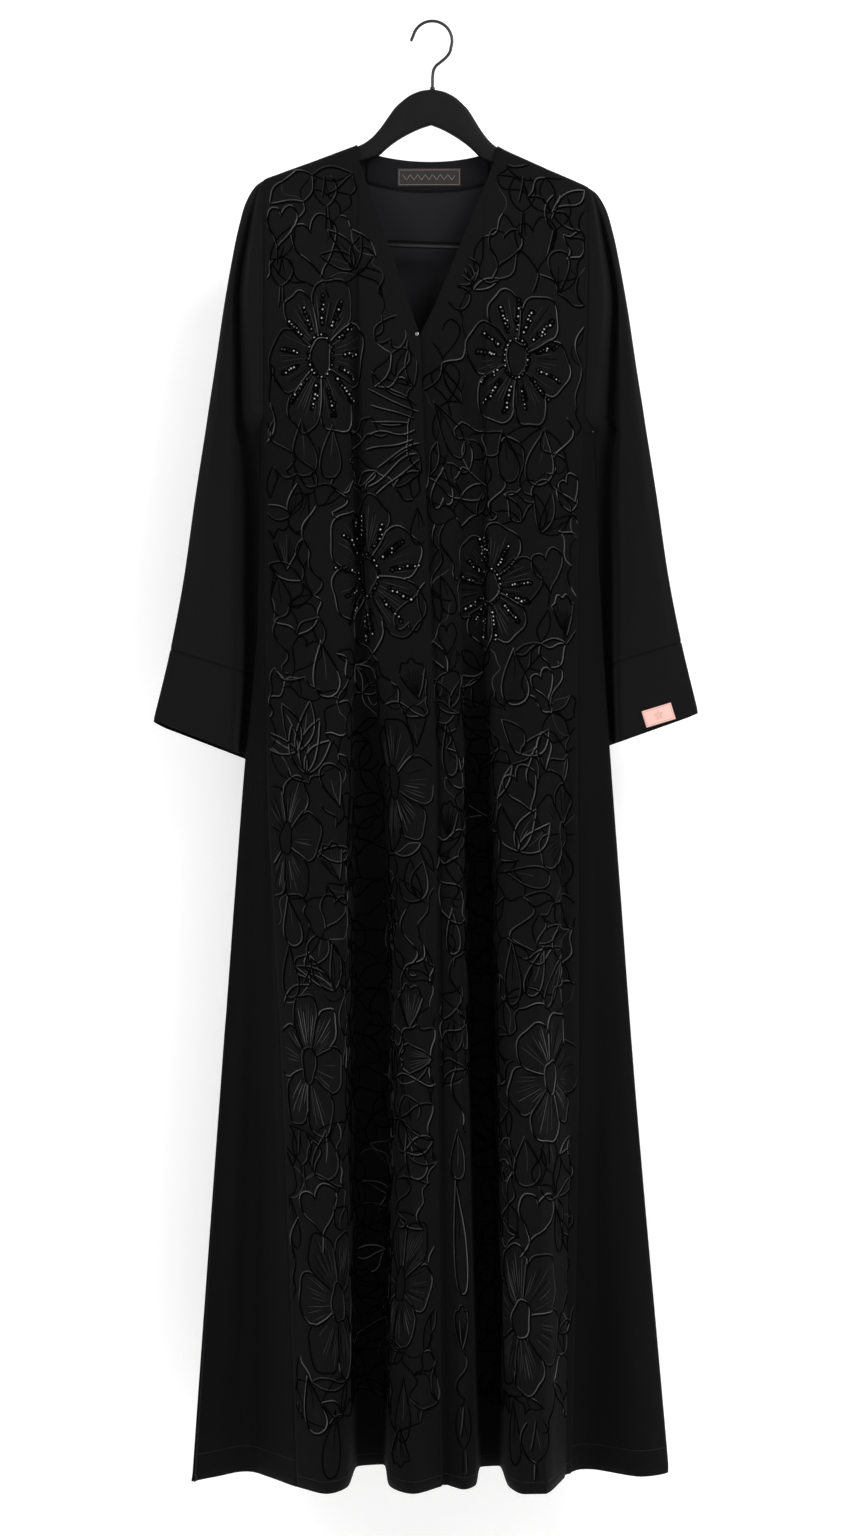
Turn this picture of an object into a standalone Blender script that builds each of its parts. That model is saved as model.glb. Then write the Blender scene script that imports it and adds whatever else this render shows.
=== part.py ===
"""An open-front abaya on a black hanger: two embroidered front panels, plain side-front gores, a plain back,
long sleeves with deep cuffs, a back neck facing with its label, and a hanger with a hook and a slim bar.

Every length below is in millimetres and becomes metres where a mesh is made. The origin is the inner top of
the hook, where a rail touches it. `drop` is how far a point hangs below a level just under the rail, `across`
is to the right of the middle, and `forward` is towards the wearer's front, which faces -Y. Left and right are
as seen from the front.
"""

import math
from collections import namedtuple

import bmesh
import bpy
from mathutils import Vector

for leftover in list(bpy.data.objects):
    bpy.data.objects.remove(leftover)

MM = 0.001
RAIL = 2.0              # the level from which drops are measured lies this far below the origin
SEAM_GAP = 0.3          # between two pieces sewn to each other
HALF_GAP = SEAM_GAP / 2
CLOTH = 1.4             # wall of the crepe with its seam allowances
FACING_CLOTH = 1.0
LABEL_CLOTH = 0.8

# ---------------------------------------------------------------- the hanger's and the cloth's driving sizes
HANGER_TILT = math.radians(1.8)    # the right arm hangs a little lower
HANGER_MIDDLE = 3.0
ARM_HALF_THICK = 6.0
ARM_END = 168.0
ARM_BEVEL = 5.0
# Half of the arms' outline: distance from the middle, drop. The top edge's last point only gives its slope.
ARM_TOP = ((0, 69), (11, 70.8), (22.8, 75.8), (32, 82.9), (39.3, 90.3), (46, 100.2), (52, 109.4), (57.8, 117),
           (62.9, 122.6), (70.5, 128.5), (81, 133.8), (103, 142.8), (126, 152.3), (150, 161.7), (180, 174.1))
ARM_UNDER = ((0, 106.8), (10, 110.3), (25.4, 118), (34, 123.4), (41.3, 128.8), (47.7, 134.4), (54, 140.4),
             (72.8, 148), (100, 159), (150, 178), (ARM_END - 4, 183))

WIRE_RADIUS = 1.7
HOOK_RADIUS = 20.9                  # of the wire's centre line
HOOK_ACROSS = 0.8
HOOK_TIP = ((-21.7, 17.8), (-20.5, 14.2))     # the wire's end, bent out a little: across, drop
HOOK_TIP_ANGLE = math.radians(166)
HOOK_LEAVE_ANGLE = math.radians(-18)
# The wire's way from the round part down to the collar: across, drop.
HOOK_NECK = ((20.1, 27), (18.5, 30.8), (16, 34.1), (12.8, 37.2), (8.9, 40.4), (5.6, 43), (3.3, 45.9), (1.9, 49.2),
             (1.3, 53.5), (1.0, 58), (1.0, 65.8))
COLLAR_RADIUS = 2.9
COLLAR_DROPS = (66.1, 68.7)

BAR_RADIUS = 3.8
BAR_DROP = 232.0
BAR_HALF = 158.0
BAR_TURN = 12.0
BAR_SEAT = 1.9          # from the arms' sloping underside to the middle of the bar's end

OVER_ARM = 2.1          # the shoulder seam's height over the arm's top edge
SHOULDER_ROUND = 11.0   # how far the cloth stands off the hanger's middle plane once over the arm
SHOULDER_FALL = 7.0     # and the drop in which it gets there
UNDERARM = 432.0        # drop of the underarm point
ARMHOLE_FOOT = 418.0    # drop at which the armhole turns in under the arm
HEM = 1541.0
LEVELS = (302.0, 622.0, 801.0, 1099.0, HEM)     # chest, waist, hip, knee and hem

# Each fold line that runs down the body: how far across it lies and how far forward it stands at the five
# levels. The rows go from the left front's centre edge round the back to the right front's edge under the lap.
Fold = namedtuple("Fold", "name across forward")
FOLDS = (
    Fold("left centre edge", (-13, -1, 5, 7, 12), (30, 42, 47, 48, 34)),
    Fold("left inner crest", (-46, -32, -19, -16, -19), (30, 44, 52, 60, 66)),
    Fold("left inner shoulder", (-75, -63, -39, -36, -45), (28, 40, 46, 54, 46)),
    Fold("left valley near foot", (-79, -71, -51, -48, -54), (24, 20, -14, -42, -60)),
    Fold("left valley far foot", (-84, -79, -80, -80, -79), (24, 18, -10, -38, -50)),
    Fold("left outer shoulder", (-88, -87, -91, -92, -86), (29, 40, 47, 54, 44)),
    Fold("left outer crest", (-128, -125, -118, -118, -109), (30, 42, 50, 58, 66)),
    Fold("left panel seam", (-177, -176, -173, -158, -141), (24, 18, 22, 31, 38)),
    Fold("left gore", (-177.6, -182, -188, -192, -197), (13, 11, 9, -1, -21)),
    Fold("left side seam", (-178, -184.4, -199.6, -221.8, -251.9), (0, 0, 0, 0, 15)),
    Fold("left back armhole", (-177, -178, -186, -206, -226), (-22, -18, -22, -28, -36)),
    Fold("left back crest", (-124, -124, -130, -144, -164), (-36, -46, -60, -82, -102)),
    Fold("left back trough", (-72, -74, -80, -92, -108), (-34, -42, -50, -62, -76)),
    Fold("left back middle crest", (-34, -33, -34, -38, -46), (-36, -50, -66, -92, -116)),
    Fold("back middle trough", (8, 9, 10, 12, 12), (-34, -46, -58, -76, -94)),
    Fold("right back middle crest", (46, 48, 52, 60, 66), (-36, -50, -64, -90, -112)),
    Fold("right back trough", (84, 88, 94, 106, 122), (-34, -42, -48, -60, -78)),
    Fold("right back crest", (122, 126, 134, 150, 170), (-36, -44, -58, -80, -100)),
    Fold("right back armhole", (165, 170, 178, 196, 226), (-22, -18, -22, -32, -58)),
    Fold("right side seam", (166, 180, 191.5, 214.2, 254.6), (0, 0, 0, -5, -28)),
    Fold("right gore crest", (165.7, 173, 181, 198, 222), (12, 9, 9, 5, -5)),
    Fold("right gore trough", (165.3, 163, 166, 170, 173), (18, 14, 13, 5, -35)),
    Fold("right panel seam", (165, 155, 155, 156, 150), (24, 18, 19, 12, -20)),
    Fold("right outer crest", (122, 111, 109, 110, 118), (32, 42, 50, 60, 66)),
    Fold("right shallow crease", (88, 86, 89, 92, 96), (28, 39, 49, 59, 67)),
    Fold("right outer shoulder", (59, 61, 68, 72, 79), (30, 40, 46, 54, 46)),
    Fold("right valley far foot", (53, 54, 61, 67, 74), (28, 4, -24, -44, -52)),
    Fold("right valley near foot", (37, 32, 38, 43, 54), (28, 6, -20, -40, -48)),
    Fold("right inner shoulder", (32, 26, 31, 36, 47), (31, 38, 45, 49, 36)),
    Fold("right inner crest", (17, 14, 19, 26, 33), (31, 42, 47, 53, 48)),
    Fold("right line under the left edge", (-13, -1, 5, 7, 12), (26, 38, 42.5, 43.5, 29.5)),
    Fold("right edge under the lap", (-37, -25, -19, -17, -12), (25.5, 39, 47, 55, 55)),
)
RING = {fold.name: float(index) for index, fold in enumerate(FOLDS)}

# The two V edges, from the neck point down: across, drop.
LEFT_V = ((-79.5, 126.4), (-78.7, 129), (-77.9, 134), (-77, 146), (-14.7, 326.4), (-8, 346))
RIGHT_V = ((70, 127.8), (69.2, 130.5), (68.4, 135), (67.2, 146), (24.7, 251), (1.6, 305.4), (-11.4, 330.6),
           (-40, 386))
BACK_NECK_DROP = 142.6  # in the middle
FACING_DEPTH = 31.0

# A sleeve's sections, from the shoulder to the cuff's hem. `drop` is at the outer crease and `inner_drop` at the
# line along the armhole and under the arm. `outer`, `face` and `bend` are measured out from the armhole, `valley`
# and `ridge` out from the inner line. The rest is how far forward each line stands, on the front face and then
# on the back one; `inner_forward` is the underarm seam's.
Section = namedtuple("Section", "drop inner_drop outer face bend valley ridge on_front on_back inner_forward")
Front = namedtuple("Front", "face bend valley ridge")
Back = namedtuple("Back", "face bend ridge")
SLEEVE = (
    Section(165.2, 166.2, 0.8, 0.7, 0.6, 0.3, 0.2, Front(1.5, 3, 4.2, 5.2), Back(-1.5, -3, -5), 6),
    Section(171, 171, 9, 6.5, 5, 3.6, 1.8, Front(5, 7.5, 9, 10.5), Back(-5, -7.5, -10.5), 10),
    Section(189, 189, 20, 15, 12.5, 9.5, 5, Front(7, 9, 8, 16), Back(-7, -10, -15), 14),
    Section(217, 217, 28, 23, 20.5, 17, 8, Front(9, 10, 6, 20), Back(-9, -12, -19), 17),
    Section(292, 292, 42, 38, 33, 28.5, 14, Front(9, 11, 2, 27), Back(-11, -14, -26), 23),
    Section(360, 361, 52, 43, 33.5, 28.5, 13, Front(13, 12, -1, 25), Back(-14, -18, -27), 23),
    Section(412, ARMHOLE_FOOT - SEAM_GAP, 60, 46, 34, 28.5, 12, Front(14, 12, -4, 21), Back(-15, -20, -25), 22),
    Section(426, UNDERARM - 0.6, 62, 48, 34, 25, 8, Front(14, 12, -5, 8), Back(-15, -21, -16), 0),
    Section(504, 512, 74, 55, 34, 15, 4, Front(15, 12, -12, -15), Back(-18, -32, -32), -21),
    Section(589, 604, 86, 63, 35, 13, 5, Front(15, 12, -20, -24), Back(-20, -38, -40), -30),
    Section(663, 691, 100, 70, 34, 10, 5, Front(14, 11, -21, -27), Back(-20, -39, -43), -33),
    Section(739.5, 779, 118, 85, 34.5, 9, 5, Front(13, 10, -17, -28), Back(-18, -37, -43), -34),
)
UNDERARM_ROW = 7        # the first row whose section is a closed ring
CUFF_SEAM = 10          # the row at which the cuff is sewn on
CUFF_HEM = 11
# Each sleeve's side, its fold lines on the body, its length under the arm against the table's, and how much higher
# the inner end of its cuff hangs.
Side = namedtuple("Side", "sign front_edge back_edge side_seam length lift")
SIDES = {
    "left": Side(-1, "left panel seam", "left back armhole", "left side seam", 1.0, 0.0),
    "right": Side(1, "right panel seam", "right back armhole", "right side seam", 0.9665, 3.0),
}
# Places round a sleeve: 0 is the front of the armhole or the underarm seam, 5 the outer crease, 9 the back.
SLEEVE_RING = (0, 0.5, 1, 1.6, 2.3, 3, 3.7, 4.4, 4.8, 5, 5.2, 5.6, 6.3, 7, 7.7, 8.3, 9)
SLEEVE_ROWS = (0, 0.5, 1, 1.6, 2.3, 3, 3.5, 4, 4.6, 5.3, 6, 7, 7.35, 7.7, 8.1, 8.7, 9.3, 10)
CUFF_ROWS = (10, 10.5, 11)
UNDERARM_EASE = 1.2     # between a sleeve's underarm point and the body's side
BEHIND_SIDE = 3.0       # how far its inner line hangs behind the body's side further down

LABEL_NECK = (-36.6, 31.4, 149.0, 168.0)     # left, right, top and bottom
LABEL_CUFF_CENTRE = (239.6, 732.3)
LABEL_CUFF_SIZE = (32.0, 18.0)
LABEL_CUFF_TILT = math.radians(17)
SNAP_AT = (-15.4, 333.0)
SNAP_RADIUS = 1.8
SNAP_THICK = 1.0

UPPER_STEPS = (0, 0.007, 0.026, 0.1, 0.24, 0.42, 0.61, 0.8, 1)
LOWER_DROPS = (UNDERARM, 490, 555, 620, 685, 755, 840, 940, 1050, 1170, 1300, 1425, HEM)

CREPE = ((0.012, 0.012, 0.013), 0.85, 0.0)
HANGER_BLACK = ((0.02, 0.02, 0.02), 0.5, 0.0)
HOOK_BLACK = ((0.015, 0.015, 0.015), 0.3, 0.6)
PINK = ((0.79, 0.45, 0.39), 0.6, 0.0)
SATIN = ((0.03, 0.025, 0.026), 0.6, 0.0)
STEEL = ((0.6, 0.6, 0.6), 0.3, 1.0)


# ---------------------------------------------------------------- the shapes that the pieces share
def straight(table, at):
    """The second column of a two-column table at this value of its first, level past both ends."""
    if at <= table[0][0]:
        return table[0][1]
    for (x0, y0), (x1, y1) in zip(table, table[1:]):
        if at <= x1:
            return y0 + (y1 - y0) * (at - x0) / (x1 - x0)
    return table[-1][1]


def smooth(stations, values, at):
    """A smooth curve through the values that never passes beyond two neighbours."""
    last = len(stations) - 1
    if at <= stations[0]:
        return values[0]
    if at >= stations[last]:
        return values[last]
    i = max(k for k in range(last) if stations[k] <= at)
    slopes = [(values[k + 1] - values[k]) / (stations[k + 1] - stations[k]) for k in range(last)]

    def tangent(k):
        if k in (0, last):
            return slopes[min(k, last - 1)]
        before, after = slopes[k - 1], slopes[k]
        return 0.0 if before * after <= 0 else 2 * before * after / (before + after)

    width = stations[i + 1] - stations[i]
    t = (at - stations[i]) / width
    return (
        values[i] * (1 + 2 * t) * (1 - t) ** 2
        + tangent(i) * width * t * (1 - t) ** 2
        + values[i + 1] * t * t * (3 - 2 * t)
        + tangent(i + 1) * width * t * t * (t - 1)
    )


def place(across, forward, drop):
    return Vector((across, -forward, -drop))


def arm_drop(across):
    """The drop of the tilted arms' top edge."""
    level = straight(ARM_TOP, abs(across))
    for _ in range(4):
        along = across - HANGER_MIDDLE + math.sin(HANGER_TILT) * level
        level = straight(ARM_TOP, abs(along)) + math.sin(HANGER_TILT) * along
    return level


NECK_POINTS = (LEFT_V[0][0], RIGHT_V[0][0])
NECK_INSETS = (-0.2, 0.8, 2.0, 5.0)     # towards the middle from a neck point
# The fold lines to each side of the neck points, on the front and on the back.
NECK_FOLDS = (
    ((RING["left inner shoulder"], RING["left panel seam"]),
     (RING["left back crest"], RING["left back middle crest"])),
    ((RING["right panel seam"], RING["right outer shoulder"]),
     (RING["right back middle crest"], RING["right back crest"])),
)


def shoulder_drop(across):
    """The shoulder seam's drop, carried on level between the two neck points."""
    if NECK_POINTS[0] < across < NECK_POINTS[1]:
        across = NECK_POINTS[0] if across < 0 else NECK_POINTS[1]
    return arm_drop(across) - OVER_ARM


def back_neck_drop(across):
    side = 0 if across < 0 else 1
    hollow = max(0.0, 1 - (across / NECK_POINTS[side]) ** 2)
    return BACK_NECK_DROP - (BACK_NECK_DROP - shoulder_drop(across)) * (1 - hollow ** 0.8)


def over_arm(below):
    """How far the cloth has come off the hanger's middle plane this far below the shoulder seam."""
    short = 1 - min(max(below, 0.0) / SHOULDER_FALL, 1.0)
    return SHOULDER_ROUND * math.sqrt(1 - short * short)


def body_line(index, drop):
    fold = FOLDS[index]
    return smooth(LEVELS, fold.across, drop), smooth(LEVELS, fold.forward, drop)


def body_point(ring, drop):
    """A point on the body's outer face: `ring` counts the fold lines, and parts of one lie between two."""
    near = range(max(int(ring) - 2, 0), min(int(ring) + 4, len(FOLDS)))
    lines = [body_line(index, drop) for index in near]
    across = smooth(list(near), [line[0] for line in lines], ring)
    forward = smooth(list(near), [line[1] for line in lines], ring)
    chest = LEVELS[0]
    if drop < chest:
        top = shoulder_drop(across)
        part = min(max((drop - top) / (chest - top), 0.0), 1.0)
        side = 1 if ring < RING["left side seam"] or ring > RING["right side seam"] else -1
        start = side * (HALF_GAP + over_arm(drop - top))
        forward = start + (forward - side * (HALF_GAP + SHOULDER_ROUND)) * (1 - (1 - part) ** 1.5)
    return place(across, forward, drop)


def facing_out(surface, a, b, step=(0.02, 1.0)):
    """The way straight out of the cloth at a place on a surface given by two numbers."""
    along = surface(a + step[0], b) - surface(a - step[0], b)
    down = surface(a, b + step[1]) - surface(a, b - step[1])
    return along.cross(down).normalized()


def top_of(ring, edge):
    """The drop at which a line down the body starts, on an edge given as a function of `across`."""
    drop = 200.0
    for _ in range(12):
        drop = edge(body_point(ring, max(drop, LEVELS[0])).x)
    return drop


# ---------------------------------------------------------------- making a piece
def material(name, look):
    made = bpy.data.materials.new(name)
    made.use_nodes = True
    shader = made.node_tree.nodes["Principled BSDF"]
    colour, roughness, metallic = look
    shader.inputs["Base Color"].default_value = (*colour, 1)
    shader.inputs["Roughness"].default_value = roughness
    shader.inputs["Metallic"].default_value = metallic
    return made


def add_object(name, data, look):
    made = bpy.data.objects.new(name, data)
    bpy.context.collection.objects.link(made)
    data.materials.append(material(name, look))
    return made


def finish_mesh(name, mesh_in_mm, look):
    bmesh.ops.recalc_face_normals(mesh_in_mm, faces=mesh_in_mm.faces)
    bmesh.ops.translate(mesh_in_mm, vec=(0, 0, -RAIL), verts=mesh_in_mm.verts)
    bmesh.ops.scale(mesh_in_mm, vec=(MM, MM, MM), verts=mesh_in_mm.verts)
    data = bpy.data.meshes.new(name)
    mesh_in_mm.to_mesh(data)
    mesh_in_mm.free()
    data.shade_smooth()
    data.set_sharp_from_angle(angle=math.radians(50))
    return add_object(name, data, look)


def wall(name, columns, rows, outer, inward, thick, look, left_out=None, weld=False):
    """A cloth wall: a grid whose outer face is outer(column, row), and its inner face `thick` along inward()."""
    mesh = bmesh.new()
    bmesh.ops.create_grid(mesh, x_segments=columns - 1, y_segments=rows - 1, size=1)
    at_column = mesh.verts.layers.int.new("column")
    at_row = mesh.verts.layers.int.new("row")
    for vert in mesh.verts:
        vert[at_column] = round((vert.co.x + 1) / 2 * (columns - 1))
        vert[at_row] = round((vert.co.y + 1) / 2 * (rows - 1))
    for vert in mesh.verts:
        vert.co = outer(vert[at_column], vert[at_row])
    if left_out:
        gone = [f for f in mesh.faces if all(left_out(v[at_column], v[at_row]) for v in f.verts)]
        bmesh.ops.delete(mesh, geom=gone, context="FACES")
    if weld:
        bmesh.ops.remove_doubles(mesh, verts=mesh.verts, dist=0.01)
    grown = bmesh.ops.extrude_face_region(mesh, geom=mesh.faces[:], use_keep_orig=True)
    for vert in (item for item in grown["geom"] if isinstance(item, bmesh.types.BMVert)):
        vert.co += inward(vert[at_column], vert[at_row]) * thick
    return finish_mesh(name, mesh, look)


def ring_places(start, end, per_fold, inset=0.0):
    """Places along the ring from one fold line to another, their ends drawn in by part of a seam's gap."""
    steps = max(1, round(abs(end - start) * per_fold))
    places = [start + (end - start) * k / steps for k in range(steps + 1)]
    direction = 1 if end > start else -1
    places[0] += direction * inset
    places[-1] -= direction * inset
    return places


def ring_at(across, drop, low, high):
    """The place between two fold lines where the body lies this far across."""
    rising = body_point(high, drop).x > body_point(low, drop).x
    for _ in range(30):
        middle = (low + high) / 2
        if (body_point(middle, drop).x < across) == rising:
            low = middle
        else:
            high = middle
    return (low + high) / 2


def with_necks(places):
    """The same places with lines added by the neck points, where the shoulder seam turns into a neck edge."""
    low, high = min(places), max(places)
    crowded = 0.12
    added = []
    for side, neck in enumerate(NECK_POINTS):
        for first, last in NECK_FOLDS[side]:
            if low <= first and last <= high:
                towards_middle = 1 if side == 0 else -1
                added += [ring_at(neck + towards_middle * inset, LEVELS[0], first, last) for inset in NECK_INSETS]
    kept = [old for old in places if old in (low, high) or min(abs(old - new) for new in added) > crowded]
    return sorted(kept + added)


def body_panel(name, places, top, edge_in, look=CREPE, left_out=None):
    """A panel of the body between two fold lines, from its top edge to the hem."""
    tops = [top(ring) for ring in places]
    upper = len(UPPER_STEPS) - 1
    has_upper = min(tops) < ARMHOLE_FOOT - 1

    def drop_of(column, row):
        if not has_upper:
            return tops[column] if row == 0 else LOWER_DROPS[row]
        if row < upper:
            return tops[column] + (UNDERARM - tops[column]) * UPPER_STEPS[row]
        return LOWER_DROPS[row - upper]

    def outer(column, row):
        drop = drop_of(column, row)
        point = body_point(places[column], drop)
        if column in (0, len(places) - 1):
            neighbour = body_point(places[1 if column == 0 else -2], drop)
            flat = Vector((neighbour.x - point.x, neighbour.y - point.y, 0)).normalized()
            point += flat * edge_in[0 if column == 0 else 1]
        return point

    def inward(column, row):
        drop = drop_of(column, row)
        if row == 0 and drop - shoulder_drop(body_point(places[column], drop).x) < HALF_GAP:
            return Vector((0, 0, -1))
        return -facing_out(body_point, places[column], drop)

    rows = len(LOWER_DROPS) + (upper if has_upper else 0)
    return wall(name, len(places), rows, outer, inward, CLOTH, look, left_out)


# ---------------------------------------------------------------- the body's panels
def left_front_top(ring):
    def edge(across):
        return straight(LEFT_V, across) if across > LEFT_V[0][0] else shoulder_drop(across)

    return top_of(ring, edge)


def right_front_top(ring):
    from_the_point = tuple(reversed(RIGHT_V))

    def edge(across):
        return straight(from_the_point, across) if across < RIGHT_V[0][0] else shoulder_drop(across)

    return top_of(ring, edge)


def gore_top(ring):
    """The armhole's curve under the arm, lowest at the side seam."""
    away = min(abs(ring - RING["left side seam"]), abs(ring - RING["right side seam"]))
    spread = RING["left side seam"] - RING["left panel seam"]
    if ring > RING["right side seam"]:
        spread = RING["right panel seam"] - RING["right side seam"]
    return UNDERARM + (ARMHOLE_FOOT - UNDERARM) * min(away / spread, 1.0)


def back_top(ring):
    if ring < RING["left back armhole"] or ring > RING["right back armhole"]:
        away = min(ring - RING["left side seam"], RING["right side seam"] - ring)
        return UNDERARM + (ARMHOLE_FOOT - UNDERARM) * away
    across = body_point(ring, LEVELS[0]).x
    if NECK_POINTS[0] < across < NECK_POINTS[1]:
        return back_neck_drop(across)
    return shoulder_drop(across)


def make_body():
    left = ring_places(RING["left centre edge"], RING["left panel seam"], 3)
    body_panel("front_left", with_necks(left), left_front_top, (0, HALF_GAP))
    right = ring_places(RING["right panel seam"], RING["right edge under the lap"], 3)
    body_panel("front_right", with_necks(right), right_front_top, (HALF_GAP, 0))
    left_gore = ring_places(RING["left panel seam"], RING["left side seam"], 3)
    body_panel("side_front_left", left_gore, gore_top, (HALF_GAP, HALF_GAP))
    right_gore = ring_places(RING["right side seam"], RING["right panel seam"], 3)
    body_panel("side_front_right", right_gore, gore_top, (HALF_GAP, HALF_GAP))

    back = with_necks(ring_places(RING["left side seam"], RING["right side seam"], 2))
    first = back.index(RING["left back armhole"])
    last = back.index(RING["right back armhole"])

    def in_armhole(column, row):
        return row < len(UPPER_STEPS) and (column <= first or column >= last)

    body_panel("back", back, back_top, (HALF_GAP, HALF_GAP), left_out=in_armhole)


# ---------------------------------------------------------------- sleeves and cuffs
ROWS = tuple(range(len(SLEEVE)))


def along_sleeve(values, row):
    return smooth(ROWS, values, row)


def sleeve_surface(side):
    """The sleeve's outer face, as a function of a place round its ring and of its row in the table."""
    armhole = abs(FOLDS[int(RING[side.front_edge])].across[0])
    tip = shoulder_drop(side.sign * armhole)
    left_tip = shoulder_drop(FOLDS[int(RING["left panel seam"])].across[0])

    def hung(drop):
        if drop > UNDERARM:
            return UNDERARM + (drop - UNDERARM) * side.length
        return UNDERARM - (UNDERARM - drop) * (UNDERARM - tip) / (UNDERARM - left_tip)

    def inner_line(row, edge):
        lift = side.lift * max(0.0, row - CUFF_SEAM + 1) / 2
        drop = hung(along_sleeve([section.inner_drop for section in SLEEVE], row)) - lift
        if row < UNDERARM_ROW:
            point = body_point(RING[edge], drop)
            return abs(point.x) - armhole + SEAM_GAP, -point.y, drop
        point = body_point(RING[side.side_seam], drop)
        clear = UNDERARM_EASE - (UNDERARM_EASE + BEHIND_SIDE) * min(1.0, row - UNDERARM_ROW)
        forward = along_sleeve([section.inner_forward for section in SLEEVE], row)
        return abs(point.x) - armhole + clear, forward, drop

    def surface(ring, row):
        front = inner_line(row, side.front_edge)
        back = inner_line(row, side.back_edge)
        outer_drop = hung(along_sleeve([section.drop for section in SLEEVE], row))
        out = {name: along_sleeve([getattr(section, name) for section in SLEEVE], row)
               for name in ("outer", "face", "bend", "valley", "ridge")}
        ahead = {name: along_sleeve([getattr(section.on_front, name) for section in SLEEVE], row)
                 for name in Front._fields}
        behind = {name: along_sleeve([getattr(section.on_back, name) for section in SLEEVE], row)
                  for name in Back._fields}
        lines = [
            front[:2],
            (front[0] + out["ridge"], ahead["ridge"]),
            (front[0] + out["valley"], ahead["valley"]),
            (out["bend"], ahead["bend"]),
            (out["face"], ahead["face"]),
            (out["outer"], 0.0),
            (out["face"], behind["face"]),
            (out["bend"], behind["bend"]),
            (back[0] + out["ridge"], behind["ridge"]),
            back[:2],
        ]
        places = tuple(range(len(lines)))
        outward = smooth(places, [line[0] for line in lines], ring)
        forward = smooth(places, [line[1] for line in lines], ring)
        share = (outward - front[0]) / max(out["outer"] - front[0], 0.1)
        drop = front[2] + (outer_drop - front[2]) * share
        return place(side.sign * (armhole + outward), forward, drop)

    return surface


def sleeve_inward(side, surface):
    """Which way the cloth's thickness goes at a place on the sleeve."""
    def inward(ring, row):
        if row == 0:
            point = surface(ring, row)
            return Vector((0, -point.y / 8, -1)).normalized()
        if ring in (0, 9):
            if row >= UNDERARM_ROW:
                return Vector((side.sign, 0, 0))
            edge = RING[side.front_edge if ring == 0 else side.back_edge]
            out = facing_out(body_point, edge, -surface(ring, row).z)
            return Vector((0, -out.y, -out.z)).normalized()
        first = UNDERARM_ROW if row >= UNDERARM_ROW else 0
        along = surface(ring + 0.02, row) - surface(ring - 0.02, row)
        down = surface(ring, row + 0.02) - surface(ring, max(row - 0.02, first))
        return along.cross(down).normalized() * side.sign

    return inward


def make_sleeve(name, side, rows, look=CREPE):
    surface = sleeve_surface(side)
    inward = sleeve_inward(side, surface)
    wall(
        name, len(SLEEVE_RING), len(rows),
        lambda column, row: surface(SLEEVE_RING[column], rows[row]),
        lambda column, row: inward(SLEEVE_RING[column], rows[row]),
        CLOTH, look, weld=True,
    )


def make_sleeves():
    inset = HALF_GAP / 80
    for name, side in SIDES.items():
        make_sleeve("sleeve_" + name, side, (*SLEEVE_ROWS[:-1], CUFF_SEAM - inset))
        make_sleeve("cuff_" + name, side, (CUFF_SEAM + inset, *CUFF_ROWS[1:]))


# ---------------------------------------------------------------- what is sewn on the panels
def found_on(surface, across, drop, start):
    """The two numbers of the place on a surface that has this `across` and `drop`."""
    a, b = start
    for _ in range(12):
        here = surface(a, b)
        by_a = (surface(a + 0.01, b) - here) / 0.01
        by_b = (surface(a, b + 0.01) - here) / 0.01
        miss_x = across - here.x
        miss_z = -drop - here.z
        scale = by_a.x * by_b.z - by_b.x * by_a.z
        a += (miss_x * by_b.z - by_b.x * miss_z) / scale
        b += (by_a.x * miss_z - miss_x * by_a.z) / scale
    return a, b


def back_inside(across, drop, depth):
    ring = ring_at(across, max(drop, LEVELS[0]), RING["left back crest"], RING["right back crest"])
    return body_point(ring, drop) - facing_out(body_point, ring, drop) * depth


def make_neck():
    """The facing inside the back neck, and the label sewn on it."""
    facing_columns = 17
    facing_rows = 4
    ends = (LEFT_V[0][0] + 10, RIGHT_V[0][0] - 9)

    def facing_place(column, row):
        across = ends[0] + (ends[1] - ends[0]) * column / (facing_columns - 1)
        return across, back_neck_drop(across) + FACING_DEPTH * row / (facing_rows - 1)

    def facing_inward(across, drop):
        return back_inside(across, drop, 1) - back_inside(across, drop, 0)

    def panel(name, columns, rows, place_of, depth, thick, look):
        wall(
            name, columns, rows,
            lambda column, row: back_inside(*place_of(column, row), depth),
            lambda column, row: facing_inward(*place_of(column, row)),
            thick, look,
        )

    under = CLOTH + 3 * SEAM_GAP
    panel("back_neck_facing", facing_columns, facing_rows, facing_place, under, FACING_CLOTH, CREPE)
    left, right, top, bottom = LABEL_NECK
    label_columns = 7

    def label_place(column, row):
        return left + (right - left) * column / (label_columns - 1), top + (bottom - top) * row

    on_facing = under + FACING_CLOTH + SEAM_GAP
    panel("neck_label", label_columns, 2, label_place, on_facing, LABEL_CLOTH, SATIN)


def make_cuff_label():
    surface = sleeve_surface(SIDES["right"])
    inward = sleeve_inward(SIDES["right"], surface)
    columns = 5
    rows = 3

    def seated(column, row):
        along = (column / (columns - 1) - 0.5) * LABEL_CUFF_SIZE[0]
        down = (row / (rows - 1) - 0.5) * LABEL_CUFF_SIZE[1]
        across = LABEL_CUFF_CENTRE[0] + along * math.cos(LABEL_CUFF_TILT) + down * math.sin(LABEL_CUFF_TILT)
        drop = LABEL_CUFF_CENTRE[1] - along * math.sin(LABEL_CUFF_TILT) + down * math.cos(LABEL_CUFF_TILT)
        return found_on(surface, across, drop, (3.8, CUFF_HEM - 0.3))

    wall(
        "cuff_label", columns, rows,
        lambda column, row: surface(*seated(column, row)) - inward(*seated(column, row)) * SEAM_GAP,
        lambda column, row: -inward(*seated(column, row)),
        LABEL_CLOTH, PINK,
    )


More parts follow.
